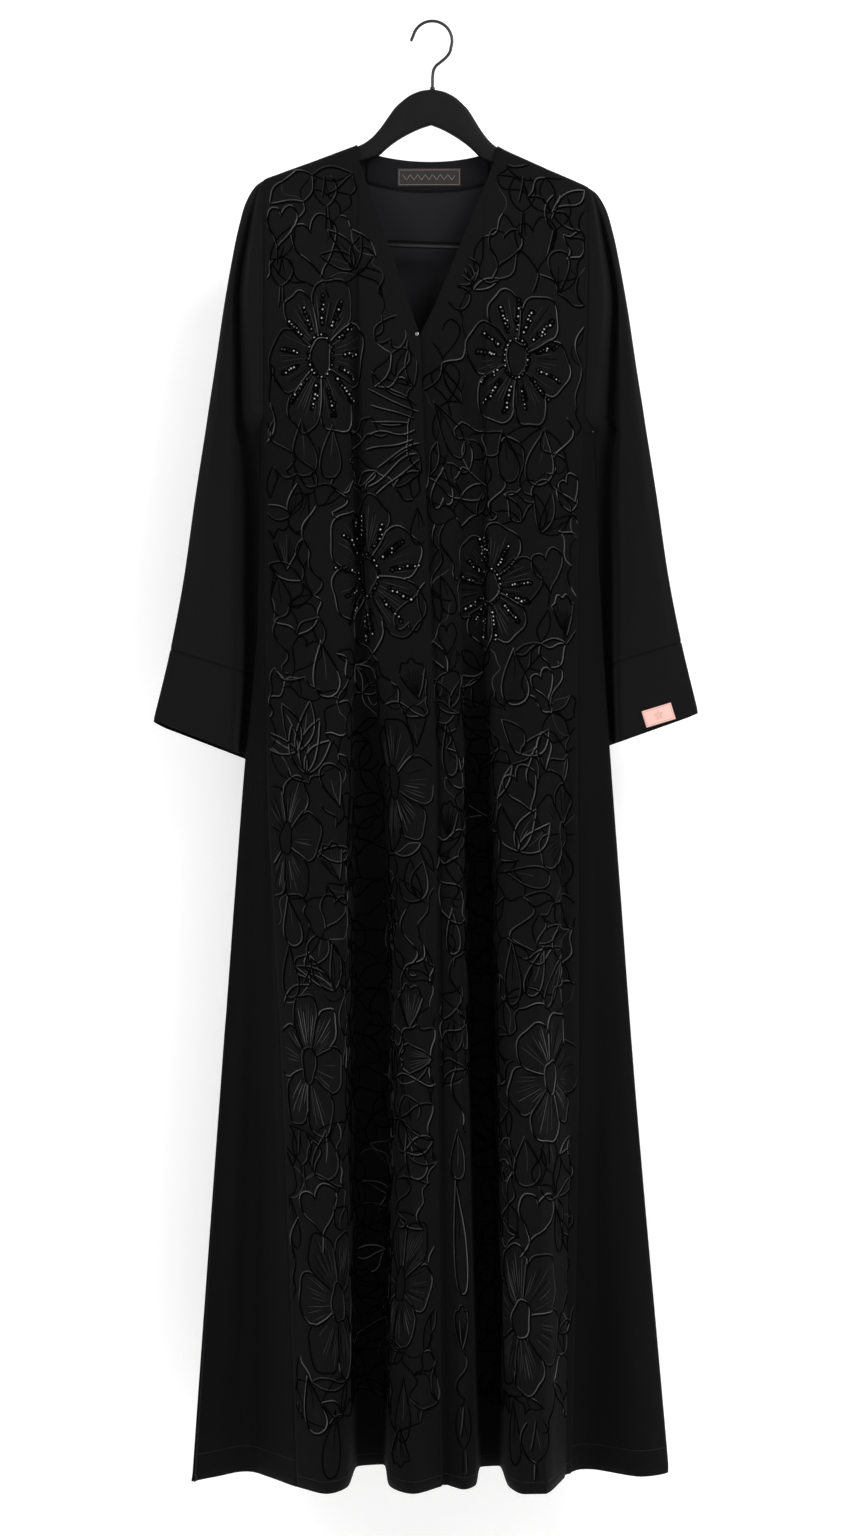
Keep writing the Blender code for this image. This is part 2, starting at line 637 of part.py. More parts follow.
def make_snap():
    """The small metal fastener at the point of the V, on the left front's corner."""
    across, drop = SNAP_AT
    ring = ring_at(across, drop, RING["left inner crest"], RING["left centre edge"])
    out = facing_out(body_point, ring, drop)
    disc = bmesh.new()
    bmesh.ops.create_cone(disc, cap_ends=True, segments=12, radius1=SNAP_RADIUS, radius2=SNAP_RADIUS * 0.7,
                          depth=SNAP_THICK)
    turn = Vector((0, 0, 1)).rotation_difference(out).to_matrix()
    bmesh.ops.rotate(disc, cent=(0, 0, 0), matrix=turn, verts=disc.verts)
    seat = body_point(ring, drop) + out * (SEAM_GAP + SNAP_THICK / 2)
    bmesh.ops.translate(disc, vec=seat, verts=disc.verts)
    finish_mesh("snap", disc, STEEL)


# ---------------------------------------------------------------- the hanger
def tilted(across, drop):
    return (HANGER_MIDDLE + across * math.cos(HANGER_TILT) - drop * math.sin(HANGER_TILT),
            drop * math.cos(HANGER_TILT) + across * math.sin(HANGER_TILT))


def make_arms():
    end_top = (ARM_END, straight(ARM_TOP, ARM_END))
    half_top = [point for point in ARM_TOP if point[0] < ARM_END] + [end_top]
    half = half_top + [(ARM_END, (end_top[1] + ARM_UNDER[-1][1]) / 2 + 2)] + list(reversed(ARM_UNDER))
    mirrored = [(-across, drop) for across, drop in reversed(half) if across > 0]
    outline = [tilted(across, drop) for across, drop in half + mirrored]
    arms = bmesh.new()
    corners = [arms.verts.new(place(across, -ARM_HALF_THICK, drop)) for across, drop in outline]
    face = arms.faces.new(corners)
    grown = bmesh.ops.extrude_face_region(arms, geom=[face], use_keep_orig=True)
    front = [item for item in grown["geom"] if isinstance(item, bmesh.types.BMVert)]
    bmesh.ops.translate(arms, vec=(0, -2 * ARM_HALF_THICK, 0), verts=front)
    rims = [edge for edge in arms.edges if abs(edge.verts[0].co.y - edge.verts[1].co.y) < 0.01]
    bmesh.ops.bevel(arms, geom=rims, offset=ARM_BEVEL, segments=3, profile=0.5, affect="EDGES",
                    clamp_overlap=True)
    finish_mesh("hanger_arms", arms, HANGER_BLACK)


def wire(name, points, radius, look, sides=2):
    """A round rod along these points (across, drop) in the hanger's plane."""
    curve = bpy.data.curves.new(name, "CURVE")
    curve.dimensions = "3D"
    curve.bevel_depth = radius * MM
    curve.bevel_resolution = sides
    curve.use_fill_caps = True
    line = curve.splines.new("POLY")
    line.points.add(len(points) - 1)
    for knot, (across, drop) in zip(line.points, points):
        knot.co = (*(place(across, 0, drop + RAIL) * MM), 1)
    add_object(name, curve, look)


def make_hook():
    turns = 20
    hook = list(HOOK_TIP)
    for k in range(turns + 1):
        angle = HOOK_TIP_ANGLE + (HOOK_LEAVE_ANGLE - HOOK_TIP_ANGLE) * k / turns
        centre_drop = HOOK_RADIUS - WIRE_RADIUS - RAIL
        hook.append((HOOK_ACROSS + HOOK_RADIUS * math.cos(angle), centre_drop - HOOK_RADIUS * math.sin(angle)))
    wire("hanger_hook", hook + list(HOOK_NECK), WIRE_RADIUS, HOOK_BLACK)
    collar = bmesh.new()
    bmesh.ops.create_cone(collar, cap_ends=True, segments=20, radius1=COLLAR_RADIUS, radius2=COLLAR_RADIUS * 0.8,
                          depth=COLLAR_DROPS[1] - COLLAR_DROPS[0])
    bmesh.ops.translate(collar, vec=(HOOK_NECK[-1][0], 0, -sum(COLLAR_DROPS) / 2), verts=collar.verts)
    finish_mesh("hanger_collar", collar, HOOK_BLACK)


def make_bar():
    """The slim bar, its ends turned up to the arms' undersides."""
    corner_steps = 5
    side = [(BAR_HALF, straight(ARM_UNDER, BAR_HALF) + BAR_SEAT)]
    for k in range(corner_steps + 1):
        angle = math.pi / 2 * k / corner_steps
        side.append((BAR_HALF - BAR_TURN * (1 - math.cos(angle)), BAR_DROP - BAR_TURN * (1 - math.sin(angle))))
    whole = side + [(-across, drop) for across, drop in reversed(side)]
    wire("hanger_bar", [tilted(across, drop) for across, drop in whole], BAR_RADIUS, HANGER_BLACK)


make_body()
make_sleeves()
make_neck()
make_cuff_label()
make_snap()
make_arms()
make_hook()
make_bar()
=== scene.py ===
"""An open-front abaya on a black hanger: cloth, cord embroidery, beads, labels, snap, stitching and hanger."""
import math
import random
from collections import namedtuple

import bmesh
import bpy
import numpy as np
from mathutils import Matrix, Vector


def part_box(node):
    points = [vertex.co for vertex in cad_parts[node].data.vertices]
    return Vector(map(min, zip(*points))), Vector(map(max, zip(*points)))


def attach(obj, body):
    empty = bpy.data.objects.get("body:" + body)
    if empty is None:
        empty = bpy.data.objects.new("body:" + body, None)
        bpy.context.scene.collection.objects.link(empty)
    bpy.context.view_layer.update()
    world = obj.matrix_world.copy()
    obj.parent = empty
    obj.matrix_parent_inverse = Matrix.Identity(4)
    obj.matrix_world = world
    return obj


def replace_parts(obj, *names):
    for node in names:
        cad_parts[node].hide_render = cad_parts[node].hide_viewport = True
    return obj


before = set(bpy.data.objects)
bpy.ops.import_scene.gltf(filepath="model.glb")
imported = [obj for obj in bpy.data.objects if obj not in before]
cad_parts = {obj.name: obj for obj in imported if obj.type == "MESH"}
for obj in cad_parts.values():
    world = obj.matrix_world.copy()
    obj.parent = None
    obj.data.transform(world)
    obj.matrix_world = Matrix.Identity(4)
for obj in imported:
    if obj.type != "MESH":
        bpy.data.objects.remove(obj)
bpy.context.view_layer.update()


# ---------------------------------------------------------------- studio
# A photographer's plain white wall close behind the garment, a pale floor under it, one large soft lamp high in
# front, a weaker one on the other side, and even white light all round. The camera looks straight at the middle.
view = bpy.context.scene.view_settings
view.view_transform = "Standard"

camera_data = bpy.data.cameras.new("camera")
camera_data.lens = 66.33
camera_data.sensor_width = 36
camera = bpy.data.objects.new("camera", camera_data)
camera.location = (0.0005, -3.0, -0.79011)
camera.rotation_euler = (math.radians(90), 0, 0)
bpy.context.collection.objects.link(camera)
bpy.context.scene.camera = camera

world = bpy.data.worlds.new("studio light")
world.use_nodes = True
world.node_tree.nodes["Background"].inputs["Color"].default_value = (1, 1, 1, 1)
world.node_tree.nodes["Background"].inputs["Strength"].default_value = 0.45
bpy.context.scene.world = world


LAMPS_AIM_AT = Vector((0, 0, -0.75))


def soft_lamp(name, stand, size, power):
    data = bpy.data.lights.new(name, "AREA")
    data.size = size
    data.energy = power
    lamp = bpy.data.objects.new(name, data)
    lamp.location = stand
    lamp.rotation_euler = (LAMPS_AIM_AT - Vector(stand)).to_track_quat("-Z", "Y").to_euler()
    bpy.context.collection.objects.link(lamp)


soft_lamp("key lamp", (1.6, -2.3, 1.1), 1.2, 58)
soft_lamp("fill lamp", (-1.8, -2.2, 0.5), 1.3, 21)


class Flow:
    """A value or colour on its way through a finish; sums and products of values add the nodes for them."""

    def __init__(self, finish, socket):
        self.finish = finish
        self.socket = socket

    def sum_of(self, operation, other):
        return self.finish.node("ShaderNodeMath", {"operation": operation}, {0: self, 1: other})

    def __add__(self, other):
        return self.sum_of("ADD", other)

    def __sub__(self, other):
        return self.sum_of("SUBTRACT", other)

    def __mul__(self, other):
        return self.sum_of("MULTIPLY", other)

    def __pow__(self, other):
        return self.sum_of("POWER", other)


class Finish:
    """One surface finish, as a material with a Principled shader."""

    def __init__(self, name, **constants):
        self.material = bpy.data.materials.new(name)
        self.material.use_nodes = True
        self.tree = self.material.node_tree
        self.shader = self.tree.nodes["Principled BSDF"]
        for socket, value in constants.items():
            self.set(socket.replace("_", " "), value)

    def feed(self, socket, value):
        if isinstance(value, Flow):
            self.tree.links.new(value.socket, socket)
        elif isinstance(value, tuple) and len(socket.default_value) == 4:
            socket.default_value = (*value, 1)
        else:
            socket.default_value = value

    def set(self, socket, value):
        self.feed(self.shader.inputs[socket], value)

    def node(self, kind, settings=None, sockets=None, out=0):
        made = self.tree.nodes.new(kind)
        for setting, value in (settings or {}).items():
            setattr(made, setting, value)
        for socket, value in (sockets or {}).items():
            self.feed(made.inputs[socket], value)
        return Flow(self, made.outputs[out])

    def place(self):
        return self.node("ShaderNodeTexCoord", out="Object")

    def noise(self, scale, detail=2.0, stretch=(1, 1, 1)):
        spread = self.node("ShaderNodeMapping", {}, {"Vector": self.place(), "Scale": stretch})
        return self.node("ShaderNodeTexNoise", {}, {"Vector": spread, "Scale": scale, "Detail": detail})

    def mix(self, share, first, second):
        return self.node("ShaderNodeMix", {"data_type": "RGBA"}, {0: share, 6: first, 7: second}, out=2)

    def bump(self, height, distance, strength):
        sockets = {"Height": height, "Distance": distance, "Strength": strength}
        self.set("Normal", self.node("ShaderNodeBump", {}, sockets))


def studio_finish(name, colour):
    """White paint that shows from its front alone, so the garment can be looked at from behind the wall."""
    paint = Finish(name, Roughness=0.9, Specular_IOR_Level=0.0, Emission_Color=(1.0, 1.0, 1.0),
                   Emission_Strength=0.32)
    paint.set("Base Color", paint.mix(paint.noise(3.0), colour, tuple(0.97 * value for value in colour)))
    behind = paint.node("ShaderNodeNewGeometry", out="Backfacing")
    clear = paint.node("ShaderNodeBsdfTransparent")
    front = Flow(paint, paint.shader.outputs[0])
    both = paint.node("ShaderNodeMixShader", {}, {0: behind, 1: front, 2: clear})
    paint.tree.links.new(both.socket, paint.tree.nodes["Material Output"].inputs["Surface"])
    return paint.material


STUDIO_HALF_WIDTH = 6.0


def studio_plane(name, turn, middle, look):
    sheet = bmesh.new()
    bmesh.ops.create_grid(sheet, x_segments=1, y_segments=1, size=STUDIO_HALF_WIDTH)
    bmesh.ops.rotate(sheet, cent=(0, 0, 0), matrix=Matrix.Rotation(turn, 3, "X"), verts=sheet.verts)
    bmesh.ops.translate(sheet, vec=middle, verts=sheet.verts)
    data = bpy.data.meshes.new(name)
    sheet.to_mesh(data)
    sheet.free()
    data.materials.append(look)
    plane = bpy.data.objects.new(name, data)
    bpy.context.collection.objects.link(plane)


studio_plane("wall", math.radians(90), (0, 0.15, -0.8), studio_finish("wall_paint", (0.94, 0.94, 0.94)))
studio_plane("floor", 0.0, (0, -2.0, -1.70), studio_finish("floor_paint", (0.9, 0.9, 0.89)))


# ---------------------------------------------------------------- back
# The back is one wide piece of black crepe, hung from the shoulder seams and widening to the hem in long flutes.
# The body's fold lines are listed once, all round: each row is a line that runs from the shoulder or armhole to
# the hem, with how far across and how far forward it hangs at the chest, waist, hip, knee and hem, in millimetres.
MM = 0.001
RAIL = 2.0
SEAM_GAP = 0.3
CREPE_THICK = 1.2
HANGER_TILT = math.radians(1.8)
HANGER_MIDDLE = 3.0
ARM_TOP = ((0, 69), (11, 70.8), (22.8, 75.8), (32, 82.9), (39.3, 90.3), (46, 100.2), (52, 109.4), (57.8, 117),
           (62.9, 122.6), (70.5, 128.5), (81, 133.8), (103, 142.8), (126, 152.3), (150, 161.7), (180, 174.1))
OVER_ARM = 2.1
SHOULDER_ROUND = 11.0
SHOULDER_FALL = 7.0
UNDERARM = 432.0
ARMHOLE_FOOT = 418.0
HEM = 1541.0
LEVELS = (302.0, 622.0, 801.0, 1099.0, HEM)
Fold = namedtuple("Fold", "name across forward")
FOLDS = (
    Fold("left centre edge", (-13, -1, 5, 7, 12), (30, 42, 47, 48, 34)),
    Fold("left inner crest", (-46, -32, -19, -16, -19), (30, 44, 52, 60, 66)),
    Fold("left inner shoulder", (-75, -63, -40, -36, -45), (28, 38, 38, 40, 32)),
    Fold("left valley near foot", (-79, -70, -52, -48, -53), (24, 21, -6, -32, -58)),
    Fold("left valley far foot", (-84, -79, -80, -80, -79), (24, 18, -12, -40, -50)),
    Fold("left outer shoulder", (-88, -87, -91, -92, -87), (29, 38, 41, 44, 36)),
    Fold("left outer crest", (-128, -125, -118, -118, -109), (30, 42, 50, 58, 66)),
    Fold("left panel seam", (-177, -176, -173, -158, -141), (24, 18, 22, 31, 38)),
    Fold("left gore", (-177.6, -182, -188, -192, -197), (13, 11, 9, -1, -21)),
    Fold("left side seam", (-178, -184.4, -199.6, -221.8, -251.9), (0, 0, 0, 0, 15)),
    Fold("left back armhole", (-177, -178, -186, -206, -226), (-22, -18, -22, -28, -36)),
    Fold("left back crest", (-124, -124, -130, -144, -164), (-36, -46, -60, -82, -102)),
    Fold("left back trough", (-72, -74, -80, -92, -108), (-34, -42, -50, -62, -76)),
    Fold("left back middle crest", (-34, -33, -34, -38, -46), (-36, -50, -66, -92, -116)),
    Fold("back middle trough", (8, 9, 10, 12, 12), (-34, -46, -58, -76, -94)),
    Fold("right back middle crest", (46, 48, 52, 60, 66), (-36, -50, -64, -90, -112)),
    Fold("right back trough", (84, 88, 94, 106, 122), (-34, -42, -48, -60, -78)),
    Fold("right back crest", (122, 126, 134, 150, 170), (-36, -44, -58, -80, -100)),
    Fold("right back armhole", (165, 170, 178, 196, 226), (-22, -18, -22, -32, -58)),
    Fold("right side seam", (166, 180, 191.5, 214.2, 254.6), (0, 0, 0, -5, -28)),
    Fold("right gore crest", (165.7, 173, 181, 198, 222), (12, 9, 9, 5, -5)),
    Fold("right gore trough", (165.3, 163, 166, 170, 173), (18, 14, 13, 5, -35)),
    Fold("right panel seam", (165, 155, 155, 156, 150), (24, 18, 19, 12, -20)),
    Fold("right outer crest", (122, 111, 109, 110, 118), (32, 42, 50, 60, 66)),
    Fold("right shallow crease", (88, 86, 89, 92, 96), (28, 39, 49, 59, 67)),
    Fold("right outer shoulder", (59, 62, 69, 73, 80), (30, 37, 40, 44, 34)),
    Fold("right valley far foot", (53, 53, 58, 64, 72), (28, 18, -14, -38, -52)),
    Fold("right valley near foot", (37, 34, 38, 43, 54), (28, 18, -16, -40, -48)),
    Fold("right inner shoulder", (32, 26, 31, 36, 47), (31, 35, 41, 44, 30)),
    Fold("right inner crest", (17, 14, 19, 26, 33), (31, 42, 47, 53, 48)),
    Fold("right line under the left edge", (-13, -1, 5, 7, 12), (26, 38, 42.5, 43.5, 29.5)),
    Fold("right edge under the lap", (-37, -25, -19, -17, -12), (25.5, 39, 47, 55, 55)),
)
RING = {fold.name: float(index) for index, fold in enumerate(FOLDS)}
LEFT_V = ((-79.5, 126.4), (-78.7, 129), (-77.9, 134), (-77, 146), (-14.7, 326.4), (-8, 346))
RIGHT_V = ((70, 127.8), (69.2, 130.5), (68.4, 135), (67.2, 146), (24.7, 251), (1.6, 305.4), (-11.4, 330.6),
           (-40, 386))
NECK_POINTS = (LEFT_V[0][0], RIGHT_V[0][0])
BACK_NECK_DROP = 142.6


def straight(table, at):
    return np.interp(at, [row[0] for row in table], [row[1] for row in table])


def smooth(stations, values, at):
    """A smooth curve through rows of values that never passes beyond two neighbours."""
    at = np.asarray(at, float)
    stations = np.asarray(stations, float)
    values = np.stack([np.broadcast_to(np.asarray(value, float), at.shape) for value in values])
    shape = (-1, *([1] * at.ndim))
    slopes = np.diff(values, axis=0) / np.diff(stations).reshape(shape)
    before, after = slopes[:-1], slopes[1:]
    same_way = before * after > 0
    total = np.where(same_way, before + after, 1)
    tangents = np.concatenate([slopes[:1], np.where(same_way, 2 * before * after / total, 0), slopes[-1:]])
    k = np.clip(np.searchsorted(stations, at, side="right") - 1, 0, len(stations) - 2)
    width = stations[k + 1] - stations[k]
    t = np.clip((at - stations[k]) / width, 0, 1)

    def pick(rows, which):
        return np.take_along_axis(rows, which[None], axis=0)[0]

    return (pick(values, k) * (1 + 2 * t) * (1 - t) ** 2 + pick(tangents, k) * width * t * (1 - t) ** 2
            + pick(values, k + 1) * t * t * (3 - 2 * t) + pick(tangents, k + 1) * width * t * t * (t - 1))


def place(across, forward, drop):
    """Points in metres, from how far across, forward and down they are in millimetres."""
    return np.stack([across * MM, -forward * MM, -(drop + RAIL) * MM], axis=-1)


def shoulder_drop(across):
    across = np.asarray(across, float)
    level_on = np.where(across < 0, *NECK_POINTS)
    across = np.where((across > NECK_POINTS[0]) & (across < NECK_POINTS[1]), level_on, across)
    level = straight(ARM_TOP, abs(across))
    for _ in range(4):
        along = across - HANGER_MIDDLE + math.sin(HANGER_TILT) * level
        level = straight(ARM_TOP, abs(along)) + math.sin(HANGER_TILT) * along
    return level - OVER_ARM


def back_neck_drop(across):
    neck = np.where(across < 0, *NECK_POINTS)
    hollow = np.maximum(0.0, 1 - (across / neck) ** 2)
    return BACK_NECK_DROP - (BACK_NECK_DROP - shoulder_drop(across)) * (1 - hollow ** 0.8)


def body(ring, drop):
    """How far across and forward the body's outer face hangs, at places along the ring of fold lines."""
    ring, drop = np.broadcast_arrays(np.asarray(ring, float), np.asarray(drop, float))
    across = smooth(range(len(FOLDS)), [smooth(LEVELS, fold.across, drop) for fold in FOLDS], ring)
    forward = smooth(range(len(FOLDS)), [smooth(LEVELS, fold.forward, drop) for fold in FOLDS], ring)
    chest = LEVELS[0]
    top = shoulder_drop(across)
    part = np.clip((drop - top) / (chest - top), 0, 1)
    side = np.where((ring < RING["left side seam"]) | (ring > RING["right side seam"]), 1, -1)
    short = 1 - np.clip((drop - top) / SHOULDER_FALL, 0, 1)
    start = side * (SEAM_GAP / 2 + SHOULDER_ROUND * np.sqrt(1 - short ** 2))
    hung = start + (forward - side * (SEAM_GAP / 2 + SHOULDER_ROUND)) * (1 - (1 - part) ** 1.5)
    return across, np.where(drop < chest, hung, forward)


def top_of(ring, edge):
    """The drop at which lines down the body start, on an edge given as a function of how far across it is."""
    drop = np.full(ring.shape, LEVELS[0])
    for _ in range(12):
        drop = edge(body(ring, np.maximum(drop, LEVELS[0]))[0])
    return drop


def ring_at(across, drop, low, high):
    """The place between two fold lines where the body lies this far across."""
    rings = np.linspace(low, high, 400)
    there = body(rings, np.full(rings.shape, float(drop)))[0]
    order = np.argsort(there)
    return np.interp(across, there[order], rings[order])


NECK_INSETS = (-0.2, 0.8, 2.0, 5.0)
NEAREST_COLUMN = 0.03


def columns_between(start, end, spacing):
    """Places along the ring about this many millimetres apart at the widest level, the neck points among them."""
    low, high = min(start, end), max(start, end)
    places = []
    for index in range(int(low), int(high)):
        here, there = FOLDS[index], FOLDS[index + 1]
        widest = max(math.dist(pair[:2], pair[2:]) for pair in
                     zip(here.across, here.forward, there.across, there.forward))
        count = max(2, round(widest / spacing))
        places += [index + k / count for k in range(count)]
    places.append(high)
    sides = ((("left inner shoulder", "left panel seam"), ("left back crest", "left back middle crest")),
             (("right panel seam", "right outer shoulder"), ("right back middle crest", "right back crest")))
    for neck, towards, pairs in zip(NECK_POINTS, (1, -1), sides):
        for first, last in pairs:
            if low <= RING[first] and RING[last] <= high:
                added = [float(ring_at(neck + towards * inset, LEVELS[0], RING[first], RING[last]))
                         for inset in NECK_INSETS]
                places = [old for old in places
                          if old in (low, high) or min(abs(old - new) for new in added) > NEAREST_COLUMN]
                places += added
    return np.array(sorted(places))


def facing_out(points):
    """Unit vectors straight out of a grid of points whose rows run down and whose columns run along."""
    along = np.gradient(points, axis=1)
    down = np.gradient(points, axis=0)
    out = np.cross(along, down)
    return out / np.maximum(np.linalg.norm(out, axis=-1, keepdims=True), 1e-12)


def along_rows(points):
    """Distance along each row of a grid of points from its first column, in millimetres."""
    steps = np.linalg.norm(np.diff(points, axis=1), axis=-1) / MM
    return np.concatenate([np.zeros((len(points), 1)), np.cumsum(steps, axis=1)], axis=1)


Crease = namedtuple("Crease", "at lean top foot width depth")


WANDER = 0.12
WANDER_TURNS = 9


def creased(points, outwards, places, drops, creases):
    """The cloth with its creases: each a soft ridge, or a trough if its depth is negative, that fades at both ends.

    A crease starts at a place along the row of fold lines, leans by so many millimetres on its way down, and
    is `width` millimetres from its middle to where it has almost gone.
    """
    length = along_rows(points)
    for crease in creases:
        middle = np.array([np.interp(crease.at, places, row) for row in length])[:, None]
        part = np.clip((drops - crease.top) / (crease.foot - crease.top), 0, 1)
        wander = WANDER * crease.width * np.sin(WANDER_TURNS * part + crease.at)
        aside = length - middle - crease.lean * part - wander
        height = crease.depth * np.exp(-(aside / (0.5 * crease.width)) ** 2) * np.sin(math.pi * part) ** 0.8
        points = points + outwards * (height * MM)[..., None]
    return points


SEAM_FOLD = (1.0, 1.0)
HEM_FOLD = (2.2, 1.5)


def rolled(points, outwards, sides, depth=0.4, reach=2.0):
    """The cloth turned in along the named sides of its grid, as it is at a pressed seam or folded edge."""
    length = along_rows(points)
    down = np.concatenate([np.zeros((1, points.shape[1])),
                           np.cumsum(np.linalg.norm(np.diff(points, axis=0), axis=-1) / MM, axis=0)])
    distance = {"first": length, "last": length[:, -1:] - length, "top": down, "foot": down[-1:] - down}
    for side in sides:
        deeper, wider = HEM_FOLD if side == "foot" else SEAM_FOLD
        inwards = depth * deeper * np.exp(-(distance[side] / (reach * wider)) ** 2)
        points = points - outwards * (inwards * MM)[..., None]
    return points


# Heights in metres between which a crepe can be painted lighter towards the shoulders: painted light.
PAINTED_LIGHT_FROM, PAINTED_LIGHT_MOST = -0.46, -0.2


def cloth_finish(name, colour, lighter, roughness, specular, sheen, pucker=0.0, painted_top_light=0.0):
    """Crepe: fine uneven yarns that cross, a pebbled face, a slight change of shade, puckers where it is sewn, and,
    where asked for, painted light that makes it lighter towards the shoulders."""
    cloth = Finish(name, Specular_IOR_Level=specular, Sheen_Weight=sheen, Sheen_Roughness=0.6)
    pebble = cloth.noise(1500.0, 3.0)
    warp = cloth.noise(420.0, 1.0, (1, 1, 0.06))
    weft = cloth.noise(420.0, 1.0, (0.06, 0.06, 1))
    shade = cloth.noise(7.0, 2.0, (1, 1, 0.35)) * 0.7 + pebble * 0.3
    # Painted light: the cloth's colour gets lighter the higher it hangs, towards the shoulders.
    if painted_top_light:
        height = cloth.node("ShaderNodeSeparateXYZ", {}, {0: cloth.place()}, out=2)
        shade = shade + cloth.node("ShaderNodeMapRange", {}, {"Value": height, "From Min": PAINTED_LIGHT_FROM,
                                                              "From Max": PAINTED_LIGHT_MOST, "To Min": 0.0,
                                                              "To Max": painted_top_light})
    cloth.set("Base Color", cloth.mix(shade, colour, lighter))
    cloth.set("Roughness", pebble * 0.12 + (roughness - 0.06))
    relief = pebble * 0.5 + warp * 0.25 + weft * 0.25
    if pucker:
        relief = relief + cloth.noise(46.0, 1.5, (1, 1, 0.8)) * (pucker / 0.35)
    cloth.bump(relief, 0.00035, 0.6)
    return cloth.material


# The crepe's inner face is a lighter copy of its outer face: painted sheen.
inside_painted_sheen_look = cloth_finish("crepe_inside_painted_sheen", (0.0105, 0.0104, 0.0120), (0.0175, 0.0172, 0.0192), 0.9, 0.04, 0.01)
crepe_look = cloth_finish("black_crepe", (0.0030, 0.0030, 0.0031), (0.0052, 0.0051, 0.0053), 0.88, 0.03, 0.008)


def mounted(name, data):
    """A mesh made an object that rides on the hanger."""
    made = bpy.data.objects.new(name, data)
    bpy.context.collection.objects.link(made)
    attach(made, "root")
    return made


def piece_of(name, mesh, look, thick=0.0, smooth_angle=None):
    """A piece with smooth faces, its wall grown inwards where a thickness is given."""
    data = bpy.data.meshes.new(name)
    mesh.to_mesh(data)
    mesh.free()
    data.materials.append(look)
    data.shade_smooth()
    if smooth_angle:
        data.set_sharp_from_angle(angle=math.radians(smooth_angle))
    made = mounted(name, data)
    if thick:
        wall = made.modifiers.new("cloth thickness", "SOLIDIFY")
        wall.thickness = thick * MM
        wall.offset = -1
        wall.use_even_offset = False
        data.materials.append(inside_painted_sheen_look)
        wall.material_offset = 1
    return made


WELDED_WITHIN = 0.02


def cloth_piece(name, points, look, left_out=None, weld=False, thick=CREPE_THICK):
    """A sewn piece over a grid of points, in place of the node of its name."""
    rows, columns = points.shape[:2]
    cloth = bmesh.new()
    bmesh.ops.create_grid(cloth, x_segments=columns - 1, y_segments=rows - 1, size=1)
    gone = []
    for vert in cloth.verts:
        column = round((vert.co.x + 1) / 2 * (columns - 1))
        row = round((1 - vert.co.y) / 2 * (rows - 1))
        vert.co = points[row, column]
        if left_out is not None and left_out[row, column]:
            gone.append(vert)
    if gone:
        out_of_cut = set(gone)
        faces = [face for face in cloth.faces if all(vert in out_of_cut for vert in face.verts)]
        bmesh.ops.delete(cloth, geom=faces, context="FACES")
    bmesh.ops.reverse_faces(cloth, faces=cloth.faces)
    if weld:
        bmesh.ops.remove_doubles(cloth, verts=cloth.verts, dist=WELDED_WITHIN * MM)
    area = sum(face.calc_area() for face in cloth.faces)
    made = piece_of(name, cloth, look, thick)
    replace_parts(made, name)
    width = float(along_rows(points)[:, -1].max()) * MM
    height = float(np.linalg.norm(np.diff(points, axis=0), axis=-1).sum(axis=0).max())
    max(height, area / width)
    return made


UPPER_STEPS = (0, 0.004, 0.010, 0.018, 0.028, 0.045, 0.075, *np.linspace(0.11, 1, 27))
LOWER_DROPS = np.linspace(UNDERARM, HEM, 128)


def body_grid(places, top):
    """A panel's grid between two fold lines: the drop of each of its points, and the points."""
    tops = top(places)
    if tops.min() < ARMHOLE_FOOT - 1:
        upper = tops + (UNDERARM - tops) * np.array(UPPER_STEPS)[:, None]
        drops = np.vstack([upper, np.repeat(LOWER_DROPS[1:, None], len(places), axis=1)])
    else:
        drops = np.vstack([tops, np.repeat(LOWER_DROPS[2:, None], len(places), axis=1)])
    rings = np.broadcast_to(places, drops.shape)
    across, forward = body(rings, drops)
    return drops, place(across, forward, drops)


def back_top(ring):
    away = np.minimum(ring - RING["left side seam"], RING["right side seam"] - ring)
    under = UNDERARM + (ARMHOLE_FOOT - UNDERARM) * away
    across = body(ring, np.full(ring.shape, LEVELS[0]))[0]
    in_neck = (across > NECK_POINTS[0]) & (across < NECK_POINTS[1])
    free = np.where(in_neck, back_neck_drop(across), shoulder_drop(across))
    outside = (ring < RING["left back armhole"]) | (ring > RING["right back armhole"])
    return np.where(outside, under, free)


BACK_CREASES = (
    Crease(11.6, 6, 330, 900, 26, 3.0), Crease(12.5, -8, 620, 1440, 30, 4.0), Crease(13.5, 4, 300, 760, 22, -2.5),
    Crease(14.4, 10, 520, 1300, 28, 3.5), Crease(15.5, -6, 360, 1010, 24, 2.8), Crease(16.5, 9, 700, 1500, 30, -4.0),
    Crease(17.3, -5, 380, 1050, 24, 3.2), Crease(10.5, 8, 700, 1460, 26, 3.4), Crease(18.4, -8, 760, 1500, 26, 3.0),
    Crease(12.0, 14, 190, 420, 20, -1.6), Crease(17.0, -14, 190, 420, 20, -1.8), Crease(14.0, 2, 170, 380, 18, 1.4),
)
back_places = columns_between(RING["left side seam"], RING["right side seam"], 8.0)
back_drops, back_points = body_grid(back_places, back_top)
back_out = facing_out(back_points)
back_points = creased(back_points, back_out, back_places, back_drops, BACK_CREASES)
back_points = rolled(back_points, back_out, ("first", "last", "foot"))
row_numbers = np.arange(len(back_drops))[:, None]
in_armhole = (row_numbers < len(UPPER_STEPS)) & ((back_places <= RING["left back armhole"])
                                                  | (back_places >= RING["right back armhole"]))
cloth_piece("back", back_points, crepe_look, left_out=in_armhole)


